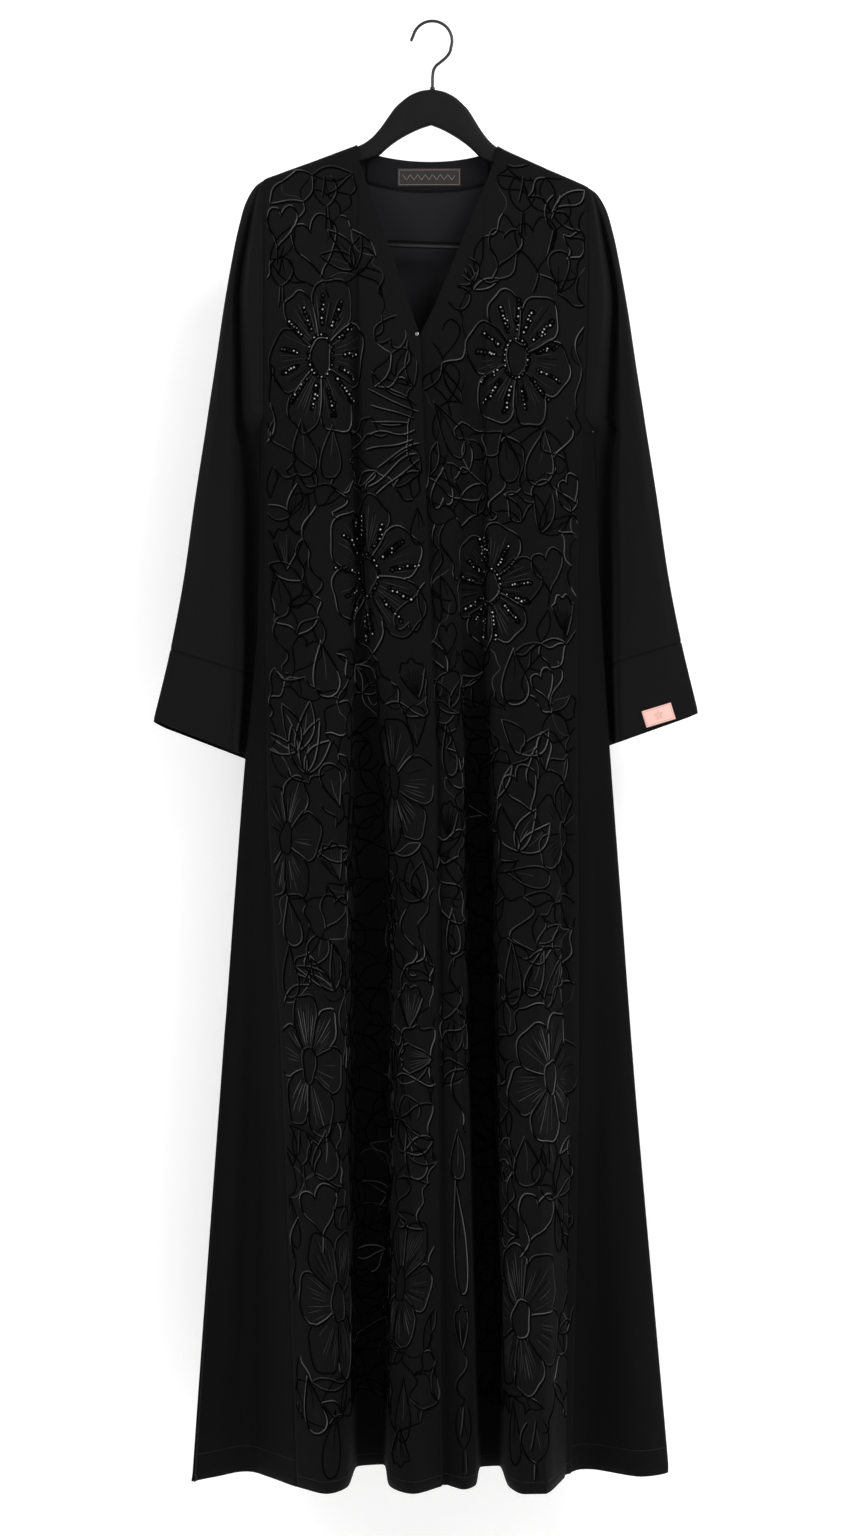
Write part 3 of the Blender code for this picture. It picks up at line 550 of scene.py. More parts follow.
# ---------------------------------------------------------------- side-front gores
# A plain gore of the same crepe joins each embroidered front to the back, from the foot of the armhole to the hem.
# Its seams are pressed open, so the cloth rolls in a little along them; the hem is turned up once.
def gore_top(ring):
    away = np.minimum(abs(ring - RING["left side seam"]), abs(ring - RING["right side seam"]))
    left_spread = RING["left side seam"] - RING["left panel seam"]
    right_spread = RING["right panel seam"] - RING["right side seam"]
    spread = np.where(ring > RING["right side seam"], right_spread, left_spread)
    return UNDERARM + (ARMHOLE_FOOT - UNDERARM) * np.minimum(away / spread, 1.0)


def panel(name, start, end, top, creases, turned_in, spacing=6.0, look=crepe_look):
    """A panel of the body sewn as its own piece; what is later sewn on it needs its grid."""
    places = columns_between(RING[start], RING[end], spacing)
    drops, points = body_grid(places, top)
    out = facing_out(points)
    points = creased(points, out, places, drops, creases)
    points = rolled(points, out, turned_in)
    cloth_piece(name, points, look)
    return places, drops, points


LEFT_GORE_CREASES = (
    Crease(7.42, -9, 600, 1330, 22, -5.0), Crease(8.05, -3, 980, 1700, 34, -8.0),
    Crease(7.5, -6, 560, 1180, 12, 1.6), Crease(8.4, -10, 760, 1500, 15, 2.4), Crease(8.0, 4, 900, 1530, 12, -2.0),
    Crease(7.35, 3, 440, 660, 8, -1.0),
)
RIGHT_GORE_CREASES = (
    Crease(21.5, 3, 900, 1700, 24, -7.0), Crease(21.9, 2, 720, 1560, 12, -5.0),
    Crease(19.6, 6, 560, 1240, 12, 1.8), Crease(20.6, 8, 820, 1510, 14, -2.2), Crease(21.5, -4, 700, 1460, 12, 2.0),
    Crease(20.2, -3, 440, 640, 8, 1.0),
)
left_gore = panel("side_front_left", "left panel seam", "left side seam", gore_top, LEFT_GORE_CREASES,
                  ("first", "last", "foot"))
right_gore = panel("side_front_right", "right side seam", "right panel seam", gore_top, RIGHT_GORE_CREASES,
                   ("first", "last", "foot"))


# ---------------------------------------------------------------- fronts
# The two embroidered fronts. Each runs from the shoulder to the hem and has one deep fold; the left one laps over
# the right one by about 24 mm below the point of the V. Their V edges are turned in and pressed flat.
def inside_v(line, inwards):
    """Tells which places lie beyond a front's neck point, towards the opening."""
    return lambda across: (across - line[0][0]) * inwards > 0


def front_top(line, inwards):
    """A front's top edge: the shoulder seam as far as the neck point, and the V's line from there."""
    in_v = inside_v(line, inwards)

    def edge(across):
        return np.where(in_v(across), straight(line[::inwards], across), shoulder_drop(across))

    return lambda ring: top_of(ring, edge)


LEFT_CREASES = (
    Crease(3.6, 2, 250, 640, 8, -3.4), Crease(4.95, -3, 330, 560, 7, -2.0), Crease(1.9, 4, 330, 620, 8, -1.8),
    Crease(1.5, 3, 420, 760, 9, -1.2), Crease(0.6, -3, 620, 1180, 8, 1.0), Crease(1.4, 4, 980, 1510, 11, -1.8),
    Crease(5.6, 5, 180, 560, 10, -1.6), Crease(6.5, -5, 640, 1120, 12, 1.8), Crease(6.1, 6, 1000, 1530, 12, -2.2),
    Crease(6.75, -7, 150, 420, 12, 1.2), Crease(5.5, -4, 760, 1060, 8, 1.4), Crease(6.6, 5, 1180, 1530, 10, 2.0),
)
RIGHT_CREASES = (
    Crease(29.85, 0, 300, 1700, 4, -4.0), Crease(22.3, 2, 700, 1200, 13, -9.0),
    Crease(22.2, -3, 1080, 1620, 10, -6.5), Crease(26.4, 3, 350, 680, 8, -3.2),
    Crease(24.9, -2, 240, 470, 7, -2.4), Crease(24.0, 3, 270, 590, 6, -2.2),
    Crease(29.5, -3, 480, 900, 8, -1.2), Crease(28.5, 4, 820, 1420, 9, 1.4), Crease(24.4, -6, 420, 980, 10, -1.9),
    Crease(23.4, 5, 200, 620, 11, 1.4), Crease(22.6, -4, 560, 1140, 10, -2.2), Crease(24.5, 5, 900, 1520, 10, 2.0),
    Crease(23.2, -5, 980, 1530, 12, -2.2), Crease(22.7, 6, 1150, 1530, 10, 1.8), Crease(23.0, 8, 150, 400, 12, -1.2),
)
# The fronts' crepe has painted light, lighter towards the shoulders.
front_look = cloth_finish("embroidered_crepe", (0.0028, 0.0028, 0.0030), (0.0054, 0.0053, 0.0056), 0.86, 0.04, 0.008,
                          pucker=2.2, painted_top_light=0.5)
left_front = panel("front_left", "left centre edge", "left panel seam", front_top(LEFT_V, 1), LEFT_CREASES,
                   ("first", "last", "top", "foot"), 5.0, front_look)
right_front = panel("front_right", "right panel seam", "right edge under the lap", front_top(RIGHT_V, -1),
                    RIGHT_CREASES, ("first", "last", "top", "foot"), 5.0, front_look)


# ---------------------------------------------------------------- sleeves and cuffs
# Each sleeve is a tube of crepe sewn into the armhole that hangs straight down and creases along its length.
# A deep cuff of the same crepe is sewn on near the hand. The sections below run from the shoulder to the hem of
# the cuff, in millimetres out from the armhole and forward of the middle.
Section = namedtuple("Section", "drop inner_drop outer face bend valley ridge on_front on_back inner_forward")
Front = namedtuple("Front", "face bend valley ridge")
Back = namedtuple("Back", "face bend ridge")
SLEEVE = (
    Section(165.2, 166.2, 0.8, 0.7, 0.6, 0.3, 0.2, Front(1.5, 3, 4.2, 5.2), Back(-1.5, -3, -5), 6),
    Section(171, 171, 9, 6.5, 5, 3.6, 1.8, Front(5, 7.5, 9, 10.5), Back(-5, -7.5, -10.5), 10),
    Section(189, 189, 20, 15, 12.5, 9.5, 5, Front(7, 9, 8, 16), Back(-7, -10, -15), 14),
    Section(217, 217, 28, 23, 20.5, 17, 8, Front(9, 10, 2, 20), Back(-9, -12, -19), 17),
    Section(292, 292, 42, 38, 33, 28.5, 14, Front(9, 11, -5, 27), Back(-11, -14, -26), 23),
    Section(360, 361, 52, 43, 33.5, 28.5, 13, Front(13, 12, -10, 25), Back(-14, -18, -27), 23),
    Section(412, ARMHOLE_FOOT - SEAM_GAP, 60, 46, 34, 28.5, 12, Front(14, 12, -14, 21), Back(-15, -20, -25), 22),
    Section(426, UNDERARM - 0.6, 62, 48, 34, 25, 8, Front(14, 12, -17, -2), Back(-15, -21, -16), 0),
    Section(504, 512, 74, 55, 34, 15, 4, Front(15, 12, -25, -15), Back(-18, -32, -32), -21),
    Section(589, 604, 86, 63, 35, 13, 5, Front(15, 12, -32, -24), Back(-20, -38, -40), -30),
    Section(663, 691, 100, 70, 34, 10, 5, Front(14, 11, -33, -27), Back(-20, -39, -43), -33),
    Section(739.5, 779, 118, 85, 34.5, 9, 5, Front(13, 10, -28, -28), Back(-18, -37, -43), -34),
)
UNDERARM_ROW = 7
CUFF_SEAM = 10
CUFF_HEM = 11
UNDERARM_EASE = 0.2
BEHIND_SIDE = 3.0
# The last two numbers of a side: how much lower its cuff's hem hangs than the table says, and how much more behind.
Side = namedtuple("Side", "sign front_edge back_edge side_seam length lift cuff_lower lower_behind")
SIDES = {
    "left": Side(-1, "left panel seam", "left back armhole", "left side seam", 1.0, 0.0, -2.2, 4.0),
    "right": Side(1, "right panel seam", "right back armhole", "right side seam", 0.9665, 3.0, 0.0, 1.8),
}


def sleeve(side, ring, row):
    """Points on a sleeve's outer face: `ring` goes round it, and `row` counts the sections."""
    ring, row = np.broadcast_arrays(np.asarray(ring, float), np.asarray(row, float))
    rows = range(len(SLEEVE))
    armhole = abs(FOLDS[int(RING[side.front_edge])].across[0])
    tip = float(shoulder_drop(side.sign * armhole))
    left_tip = float(shoulder_drop(FOLDS[int(RING["left panel seam"])].across[0]))

    def hung(drop):
        above = UNDERARM - (UNDERARM - drop) * (UNDERARM - tip) / (UNDERARM - left_tip)
        return np.where(drop > UNDERARM, UNDERARM + (drop - UNDERARM) * side.length, above)

    def measures(part):
        """Reads one measure of this part of every section by its name, smoothed between the sections."""
        return lambda name: smooth(rows, [getattr(part(section), name) for section in SLEEVE], row)

    out = measures(lambda section: section)
    ahead = measures(lambda section: section.on_front)
    behind = measures(lambda section: section.on_back)

    def inner_line(edge):
        lift = side.lift * np.maximum(0.0, row - CUFF_SEAM + 1) / 2
        drop = hung(out("inner_drop")) - lift
        at_edge = body(RING[edge], drop)
        at_side = body(RING[side.side_seam], drop)
        clear = UNDERARM_EASE - (UNDERARM_EASE + BEHIND_SIDE) * np.minimum(1.0, 3 * (row - UNDERARM_ROW))
        open_part = row < UNDERARM_ROW
        return (np.where(open_part, abs(at_edge[0]) - armhole + SEAM_GAP, abs(at_side[0]) - armhole + clear),
                np.where(open_part, at_edge[1], out("inner_forward")), drop)

    front = inner_line(side.front_edge)
    back = inner_line(side.back_edge)
    outer_drop = hung(out("drop"))
    lines = (
        front[:2],
        (front[0] + out("ridge"), ahead("ridge")),
        (front[0] + out("valley"), ahead("valley")),
        (out("bend"), ahead("bend")),
        (out("face"), ahead("face")),
        (out("outer"), 0.0),
        (out("face"), behind("face")),
        (out("bend"), behind("bend")),
        (back[0] + out("ridge"), behind("ridge")),
        back[:2],
    )
    outward = smooth(range(len(lines)), [line[0] for line in lines], ring)
    forward = smooth(range(len(lines)), [line[1] for line in lines], ring)
    share = (outward - front[0]) / np.maximum(out("outer") - front[0], 0.1)
    return place(side.sign * (armhole + outward), forward, front[2] + (outer_drop - front[2]) * share)


# The sleeves and cuffs are the body's crepe painted lighter: painted light.
sleeve_painted_light_look = cloth_finish("sleeve_crepe_painted_light", (0.0044, 0.0044, 0.0046), (0.0074, 0.0073, 0.0076), 0.86, 0.04, 0.01)
# The inside of each cuff is a near-black copy of the crepe: painted shade where the cuff's front hangs over its back.
cuff_inside_painted_shade_look = cloth_finish("cuff_inside_painted_shade", (0.0004, 0.0004, 0.0004), (0.0008, 0.0008, 0.0008), 0.92, 0.0, 0.0)
SLEEVE_CREASES = {
    "left": (Crease(2.6, 4, 190, 420, 9, -1.5), Crease(4.2, -5, 330, 640, 10, 1.6),
             Crease(3.4, 6, 470, 740, 9, -2.0), Crease(6.4, 5, 260, 560, 12, -2.2),
             Crease(7.4, -6, 430, 760, 12, 2.2), Crease(4.5, 4, 560, 770, 9, -1.6),
             Crease(1.2, 3, 500, 700, 8, 1.2)),
    "right": (Crease(2.5, -4, 190, 400, 9, -1.4), Crease(4.1, 5, 300, 600, 10, 1.8),
              Crease(3.3, -5, 450, 700, 9, -1.9), Crease(6.3, -5, 280, 600, 12, -2.2),
              Crease(7.5, 5, 460, 740, 12, 2.0), Crease(4.4, -4, 540, 740, 9, 1.6),
              Crease(1.3, -3, 520, 690, 8, -1.2)),
}
SLEEVE_PLACES = np.concatenate([np.linspace(0, 4.5, 34)[:-1], np.linspace(4.5, 5.5, 15),
                                np.linspace(5.5, 9, 28)[1:]])
UPPER_ROWS = np.concatenate([np.linspace(0, 1, 7), np.linspace(1, 6, 38)[1:]])
LOWER_ROWS = np.linspace(UNDERARM_ROW, CUFF_SEAM + 0.035, 36)
ARMHOLE_TUCK = (2.4, 1.6)


def sleeve_piece(kind, side_name, rows):
    """A sleeve or a cuff, its two edges meeting under the arm; the lower part of a cuff flares a little."""
    side = SIDES[side_name]
    is_cuff = kind == "cuff"
    points = sleeve(side, SLEEVE_PLACES[None, :], rows[:, None])
    out = facing_out(points) * -side.sign
    drops = -points[..., 2] / MM - RAIL
    points = creased(points, out, SLEEVE_PLACES, drops, SLEEVE_CREASES[side_name])
    points = rolled(points, out, ("foot",), 0.25 if is_cuff else 0.5, 1.6)
    points[rows >= UNDERARM_ROW, -1] = points[rows >= UNDERARM_ROW, 0]
    in_armhole = (rows > 0.3) & (rows < UNDERARM_ROW)
    for edge, backward in ((0, ARMHOLE_TUCK[1]), (-1, -ARMHOLE_TUCK[1])):
        points[in_armhole, edge] += np.array((-side.sign * ARMHOLE_TUCK[0], backward, 0)) * MM
    if is_cuff:
        behind_share = np.clip(np.minimum(SLEEVE_PLACES - 4.7, 9.3 - SLEEVE_PLACES) / 0.8, 0, 1)
        at_hem = side.cuff_lower + side.lower_behind * behind_share
        lower = np.outer(np.clip(rows - CUFF_SEAM, 0, 1) ** 2, at_hem)
        points[..., 2] -= lower * MM
        points[..., 0] -= side.sign * lower * 0.2 * MM
    if side.sign > 0:
        points = points[:, ::-1]
    made = cloth_piece(kind + "_" + side_name, points, sleeve_painted_light_look, weld=True)
    if is_cuff:
        # Painted shade on the inside of the cuff.
        made.data.materials[1] = cuff_inside_painted_shade_look


for side_name in SIDES:
    sleeve_piece("sleeve", side_name, np.concatenate([UPPER_ROWS, LOWER_ROWS]))
    sleeve_piece("cuff", side_name, np.linspace(CUFF_SEAM + 0.002, CUFF_HEM, 16))


# ---------------------------------------------------------------- back neck facing and neck label
# A crescent of crepe faces the inside of the back neck. A small satin label is sewn on it; it carries no name, only
# a stitched border and a zigzag.
FACING_DEPTH = 31.0
FACING_IN = 1.9
LABEL_IN = 2.9
FACING_ENDS = (LEFT_V[0][0] + 10, RIGHT_V[0][0] - 9)
LABEL_NECK = (-36.6, 31.4, 149.0, 168.0)
LABEL_BORDER_IN = 2
ZIGZAG_IN = 6
ZIGZAG_TURNS = 14
ZIGZAG_REACH = 2.8
RIBBON_THICK = 0.6
RIBBON_FACE = 2.95


def inside_back(across, drop, depth):
    """Points this deep in from the outer face of the back, at places given across and down."""
    low, high = RING["left back crest"], RING["right back crest"]
    ring = ring_at(across, LEVELS[0], low, high)

    def face(ring_there, drop_there):
        return place(*body(ring_there, drop_there), drop_there)

    along = face(ring + 0.02, drop) - face(ring - 0.02, drop)
    down = face(ring, drop + 1) - face(ring, drop - 1)
    out = np.cross(along, down)
    return face(ring, drop) - out / np.linalg.norm(out, axis=-1, keepdims=True) * depth * MM


facing_across = np.broadcast_to(np.linspace(*FACING_ENDS, 60), (9, 60))
facing_drop = back_neck_drop(facing_across) + FACING_DEPTH * np.linspace(0, 1, 9)[:, None]
facing_points = inside_back(facing_across, facing_drop, CREPE_THICK + FACING_IN)[:, ::-1]
facing_look = cloth_finish("facing_crepe", (0.0062, 0.0061, 0.0070), (0.0100, 0.0098, 0.0112), 0.85, 0.05, 0.01)
cloth_piece("back_neck_facing", facing_points, facing_look, thick=0.8)


def satin_finish(name, colour, lighter, roughness):
    """Woven satin ribbon: close glossy threads along it, with finer ones across."""
    satin = Finish(name, Specular_IOR_Level=0.35, Sheen_Weight=0.1)
    threads = satin.noise(700.0, 2.0, (0.08, 0.08, 1))
    fine = satin.noise(2200.0, 2.0)
    satin.set("Base Color", satin.mix(threads * 0.6 + fine * 0.4, colour, lighter))
    satin.set("Roughness", fine * 0.15 + (roughness - 0.07))
    satin.bump(threads * 0.7 + fine * 0.3, 0.00025, 0.5)
    return satin.material


label_look = satin_finish("neck_label_satin", (0.0085, 0.0072, 0.0080), (0.016, 0.014, 0.0155), 0.6)
label_low, label_high, label_top, label_foot = LABEL_NECK
label_grid = np.meshgrid(np.linspace(label_low, label_high, 36), np.linspace(label_top, label_foot, 12))
label_points = inside_back(*label_grid, CREPE_THICK + LABEL_IN)[:, ::-1]
cloth_piece("neck_label", label_points, label_look, thick=RIBBON_THICK)


def along_line(points):
    """Distance along a line of points from its first one."""
    return np.concatenate([[0], np.cumsum(np.linalg.norm(np.diff(points, axis=0), axis=1))])


def read_at(at, along, points):
    """A line's points, or what goes with them, at these distances along it."""
    return np.stack([np.interp(at, along, column) for column in points.T], 1)


def refined(points, step=3.0):
    """The same line with its points a few millimetres apart."""
    points = np.asarray(points, float)
    along = along_line(points)
    return read_at(np.linspace(0, along[-1], max(3, round(along[-1] / step) + 1)), along, points)


def thread_finish(name, colour, lighter):
    """Spun sewing thread, its twist showing as fine slanting marks."""
    thread = Finish(name, Roughness=0.6, Specular_IOR_Level=0.3)
    twist = thread.noise(3000.0, 1.0, (1, 1, 0.4))
    thread.set("Base Color", thread.mix(twist, colour, lighter))
    thread.bump(twist, 0.0001, 0.4)
    return thread.material


def round_threads(name, runs, looks, radius, roundness=1):
    """A mesh of round threads; each run is its points, how thick it is at each of them, and which look it has."""
    curve = bpy.data.curves.new(name, "CURVE")
    curve.dimensions = "3D"
    curve.bevel_depth = radius * MM
    curve.bevel_resolution = roundness
    curve.use_fill_caps = True
    for look in looks:
        curve.materials.append(look)
    for points, thickness, look_index in runs:
        line = curve.splines.new("POLY")
        line.points.add(len(points) - 1)
        line.points.foreach_set("co", np.hstack([points, np.ones((len(points), 1))]).ravel())
        line.points.foreach_set("radius", thickness)
        line.material_index = look_index
    rough = bpy.data.objects.new(name + "_line", curve)
    data = bpy.data.meshes.new_from_object(rough)
    bpy.data.objects.remove(rough)
    data.name = name
    data.shade_smooth()
    return data


def stitches(name, rows, look, radius=0.22, stitch=2.2, gap=1.0):
    """Rows of running stitches, each one a short thread with its ends sunk in the cloth."""
    runs = []
    for points, out in rows:
        along = along_line(points) / MM
        for k in range(int(along[-1] / (stitch + gap))):
            at = k * (stitch + gap) + np.array([0, 0.25, 0.75, 1]) * stitch
            lift = read_at(at, along, out) * np.array([-0.3, 0.5, 0.5, -0.3])[:, None] * radius * MM
            runs.append((read_at(at, along, points) + lift, np.ones(4), 0))
    mounted(name, round_threads(name, runs, (look,), radius))


def rectangle(low, high, top, foot):
    return refined([(low, top), (high, top), (high, foot), (low, foot), (low, top)], 1.0)


def rows_on(face, lift, lines):
    """Each line as it lies on a label's face, and which way is out of the face along it."""
    rows = []
    for line in lines:
        here = face(line[:, 0], line[:, 1], lift)
        rows.append((here, (face(line[:, 0], line[:, 1], lift + 1) - here) / MM))
    return rows


neck_thread = thread_finish("neck_label_thread", (0.24, 0.16, 0.16), (0.42, 0.30, 0.30))
border = rectangle(label_low + LABEL_BORDER_IN, label_high - LABEL_BORDER_IN, label_top + LABEL_BORDER_IN,
                   label_foot - LABEL_BORDER_IN)
zigzag = refined([(label_low + ZIGZAG_IN + (label_high - label_low - 2 * ZIGZAG_IN) * k / ZIGZAG_TURNS,
                   (label_top + label_foot) / 2 + (ZIGZAG_REACH if k % 2 else -ZIGZAG_REACH))
                  for k in range(ZIGZAG_TURNS + 1)], 0.7)
ornament = rows_on(inside_back, CREPE_THICK + RIBBON_FACE + RIBBON_THICK, (border, zigzag))
stitches("neck_label_stitches", ornament, neck_thread, radius=0.26, stitch=1.5, gap=0.5)


# ---------------------------------------------------------------- cord embroidery
# Both fronts are covered in flowers and leaves couched in satin cord: thick cord for outlines, thin thread for the
# veins of the petals. Each cord is given a black, a dim or a glossy grey look by its tone, lighter in colour as well
# as glossier: painted light where it would catch the light and painted shade where it wouldn't. Each motif is
# drawn flat in millimetres, across and down from its own middle, and then laid on the cloth.
class Ground:
    """The face of a finished panel, for what is sewn on it."""

    ROW = 4.0
    FIRST_ROW = 140.0
    BARE_AT_V = 38.0
    BARE_AT_TOP = 5.0
    BARE_AT_HEM = 12
    BARE_AT_SIDES = (3, 4)

    def __init__(self, grid, in_v=lambda across: across > math.inf):
        self.places, drops, points = grid
        self.levels = np.arange(self.FIRST_ROW, HEM - 1, self.ROW)
        self.points = np.empty((len(self.levels), len(self.places), 3))
        for column in range(len(self.places)):
            for axis in range(3):
                self.points[:, column, axis] = np.interp(self.levels, drops[:, column], points[:, column, axis])
        self.out = facing_out(self.points)
        self.length = along_rows(self.points)
        across = points[0, :, 0] / MM
        self.first_drop = drops[0] + np.where(in_v(across), self.BARE_AT_V, self.BARE_AT_TOP)

    def lay(self, ring, aside, drop):
        """Points on the cloth this far to the right of a fold line, which way is out, and where there is cloth."""
        row = np.clip((drop - self.levels[0]) / self.ROW, 0, len(self.levels) - 1.001)
        upper = row.astype(int)
        total = 0.0
        facing = 0.0
        on_cloth = (drop > self.levels[0]) & (drop < HEM - self.BARE_AT_HEM)
        for rows, share in ((upper, 1 - row + upper), (upper + 1, row - upper)):
            lengths = self.length[rows]
            index = int(np.clip(np.searchsorted(self.places, ring) - 1, 0, len(self.places) - 2))
            part = (ring - self.places[index]) / (self.places[index + 1] - self.places[index])
            goal = lengths[:, index] * (1 - part) + lengths[:, index + 1] * part - aside
            before = np.clip((lengths < goal[:, None]).sum(axis=1) - 1, 0, len(self.places) - 2)
            pick = np.arange(len(goal))
            low, high = lengths[pick, before], lengths[pick, before + 1]
            along = np.clip((goal - low) / (high - low), 0, 1)[:, None]
            total = total + share[:, None] * (self.points[rows, before] * (1 - along)
                                              + self.points[rows, before + 1] * along)
            facing = facing + share[:, None] * (self.out[rows, before] * (1 - along)
                                                + self.out[rows, before + 1] * along)
            on_cloth = on_cloth & (goal > self.BARE_AT_SIDES[0]) & (goal < lengths[:, -1] - self.BARE_AT_SIDES[1])
            on_cloth = on_cloth & (drop > self.first_drop[before])
        return total, facing / np.linalg.norm(facing, axis=1, keepdims=True), on_cloth

    def spot(self, ring, drop, aside=0.0):
        """One place on the cloth, which way is out there, and whether there is cloth."""
        points, out, on_cloth = self.lay(ring, np.array([aside]), np.array([drop]))
        return points[0], out[0], on_cloth[0]

    def apart(self, first, second):
        """How far the second place lies to the right of the first and below it, each a fold line and a drop."""
        row = int(np.clip((second[1] - self.levels[0]) / self.ROW, 0, len(self.levels) - 1))
        lengths = np.interp((first[0], second[0]), self.places, self.length[row])
        return lengths[0] - lengths[1], second[1] - first[1]


left_ground = Ground(left_front, inside_v(LEFT_V, 1))
right_ground = Ground(right_front, inside_v(RIGHT_V, -1))

# The radius of the outline cord, of the vein thread and of single threads.
CORD = 0.75
FINE = 0.4
FAINT = 0.32


def drawn(points, thick=CORD):
    return np.asarray(points, float), thick


def bloom(draw, wide, tall):
    """A large open flower: an oval eye, wavy-edged petals that share their sides, and veins from the eye."""
    petals, veins, eye, ragged = 6, 5, (0.18, 0.24), 0.045
    threads = []
    turn = np.linspace(0, 2 * math.pi, 33)
    wobble = 1 + 0.09 * np.sin(3 * turn + draw.uniform(0, 6)) + 0.05 * np.sin(5 * turn + draw.uniform(0, 6))
    threads.append(drawn(np.stack([eye[0] * wide * wobble * np.sin(turn), eye[1] * tall * wobble * np.cos(turn)], 1)))
    start = draw.uniform(-0.3, 0.3)
    sides = [start + 2 * math.pi * (k + draw.uniform(-0.16, 0.16)) / petals for k in range(petals)]
    sides.append(sides[0] + 2 * math.pi)
    for first, last in zip(sides, sides[1:]):
        reach = draw.uniform(0.84, 1.0)
        notch = draw.uniform(0.5, 0.66)
        phase = draw.uniform(0, 6)
        t = np.linspace(0, 1, 25)

        def edge(part):
            lift = np.sin(math.pi * np.clip(part, 0, 1)) ** 0.5
            return reach * (notch + (1 - notch) * lift) * (1 + ragged * np.sin(12 * part + phase) * lift)

        def spoke(angle, share):
            near = np.stack([eye[0] * wide * np.sin(angle), -eye[1] * tall * np.cos(angle)], -1) * 1.06
            away = np.stack([wide * np.sin(angle), -tall * np.cos(angle)], -1)
            share = np.asarray(share)[:, None]
            return near * (1 - share) + away * share

        rise = np.linspace(0, 0.96 * float(edge(np.array(0.02))), 10)
        threads.append(drawn(spoke(first + 0.05 * np.sin(4 * rise + phase), rise)))
        threads.append(drawn(spoke(first + (last - first) * t, edge(t))))
        for k in range(veins):
            at = (k + 0.8) / (veins + 0.6)
            far = draw.uniform(0.5, 0.9) * float(edge(np.array(at)))
            bend = draw.uniform(-0.04, 0.04)
            steps = np.linspace(draw.choice((0.0, 0.12, 0.25)), far, 8)
            way = first + (last - first) * (at + bend * steps)
            threads.append(drawn(spoke(way, steps), FINE))
        between = random.Random(round(100 * (wide + first)))
        for k in range(veins + 1):
            at = (k + 0.3 + between.uniform(-0.1, 0.1)) / (veins + 0.6)
            steps = np.linspace(between.uniform(0.1, 0.3), between.uniform(0.5, 0.85) * float(edge(np.array(at))), 6)
            threads.append(drawn(spoke(first + (last - first) * at * np.ones(6), steps), FAINT))
    return threads


def heart(draw, wide, tall):
    """A heart-shaped leaf, one lobe higher than the other, on a forked stem."""
    turn = np.linspace(0.12, 2 * math.pi - 0.12, 36)
    across = 16 * np.sin(turn) ** 3 / 16
    down = -(13 * np.cos(turn) - 5 * np.cos(2 * turn) - 2 * np.cos(3 * turn) - np.cos(4 * turn)) / 17
    uneven = 1 + 0.12 * np.sin(turn + draw.uniform(-0.5, 0.5)) + 0.03 * np.sin(9 * turn)
    outline = np.stack([across * wide * uneven, down * tall * uneven], 1)
    foot = outline[17]
    lean = draw.uniform(-0.25, 0.25)
    stem = foot + np.stack([lean * tall * np.linspace(0, 1, 7) ** 1.5, tall * 0.55 * np.linspace(0, 1, 7)], 1)
    return [drawn(outline), drawn(stem), drawn(stem * (0.7, 1) + (0.35 * foot[0] + 1.5, 0), FINE)]


def drop_leaf(draw, wide, tall):
    """A leaf shaped like a drop, its point up, with one rib."""
    t = np.linspace(0, 1, 30)
    turn = 2 * math.pi * t
    body_width = np.sin(turn / 2) ** 1.6 * np.sin(turn)
    wave = 1 + 0.07 * np.sin(11 * t + draw.uniform(0, 6))
    outline = np.stack([wide * 1.25 * body_width * wave, -tall * np.cos(turn)], 1)
    rib = np.stack([0.1 * wide * np.sin(3 * np.linspace(0, 1, 8)),
                    tall * np.linspace(-0.9, draw.uniform(0.1, 0.5), 8)], 1)
    return [drawn(outline), drawn(rib, FINE)]


def blade(length, wide, bow, steps=14):
    """A narrow leaf from its foot at the origin straight up, bowed to one side: its two edges."""
    t = np.linspace(0, 1, steps)
    middle = bow * np.sin(math.pi * t * 0.9)
    half = wide * np.sin(math.pi * t ** 0.8) ** 0.9
    return [np.stack([middle - half, -length * t], 1), np.stack([middle + half, -length * t], 1)]


def turned(points, angle):
    turn = np.array(((math.cos(angle), math.sin(angle)), (-math.sin(angle), math.cos(angle))))
    return np.asarray(points) @ turn


def spray(draw, wide, tall):
    """Two or three broad pointed leaves that spread from one foot, each with a rib or two."""
    threads = []
    count = draw.choice((2, 3))
    for k in range(count):
        angle = (k / (count - 1) - 0.5) * draw.uniform(0.9, 1.5) + draw.uniform(-0.15, 0.15)
        size = tall * draw.uniform(1.5, 2.1) * (1 - 0.2 * abs(angle))
        bow = draw.choice((-1, 1)) * draw.uniform(0.12, 0.3) * wide
        edges = blade(size, wide * draw.uniform(0.32, 0.46), bow)
        threads += [drawn(turned(edge, angle) + (0, tall * 0.8)) for edge in edges]
        for share in (0.75, 0.5)[:draw.choice((0, 1, 2))]:
            rib = blade(size * share, 0.0, bow * share, 8)[0] + (draw.uniform(-0.08, 0.08) * wide, 0)
            threads.append(drawn(turned(rib, angle) + (0, tall * 0.8), FINE))
    return threads


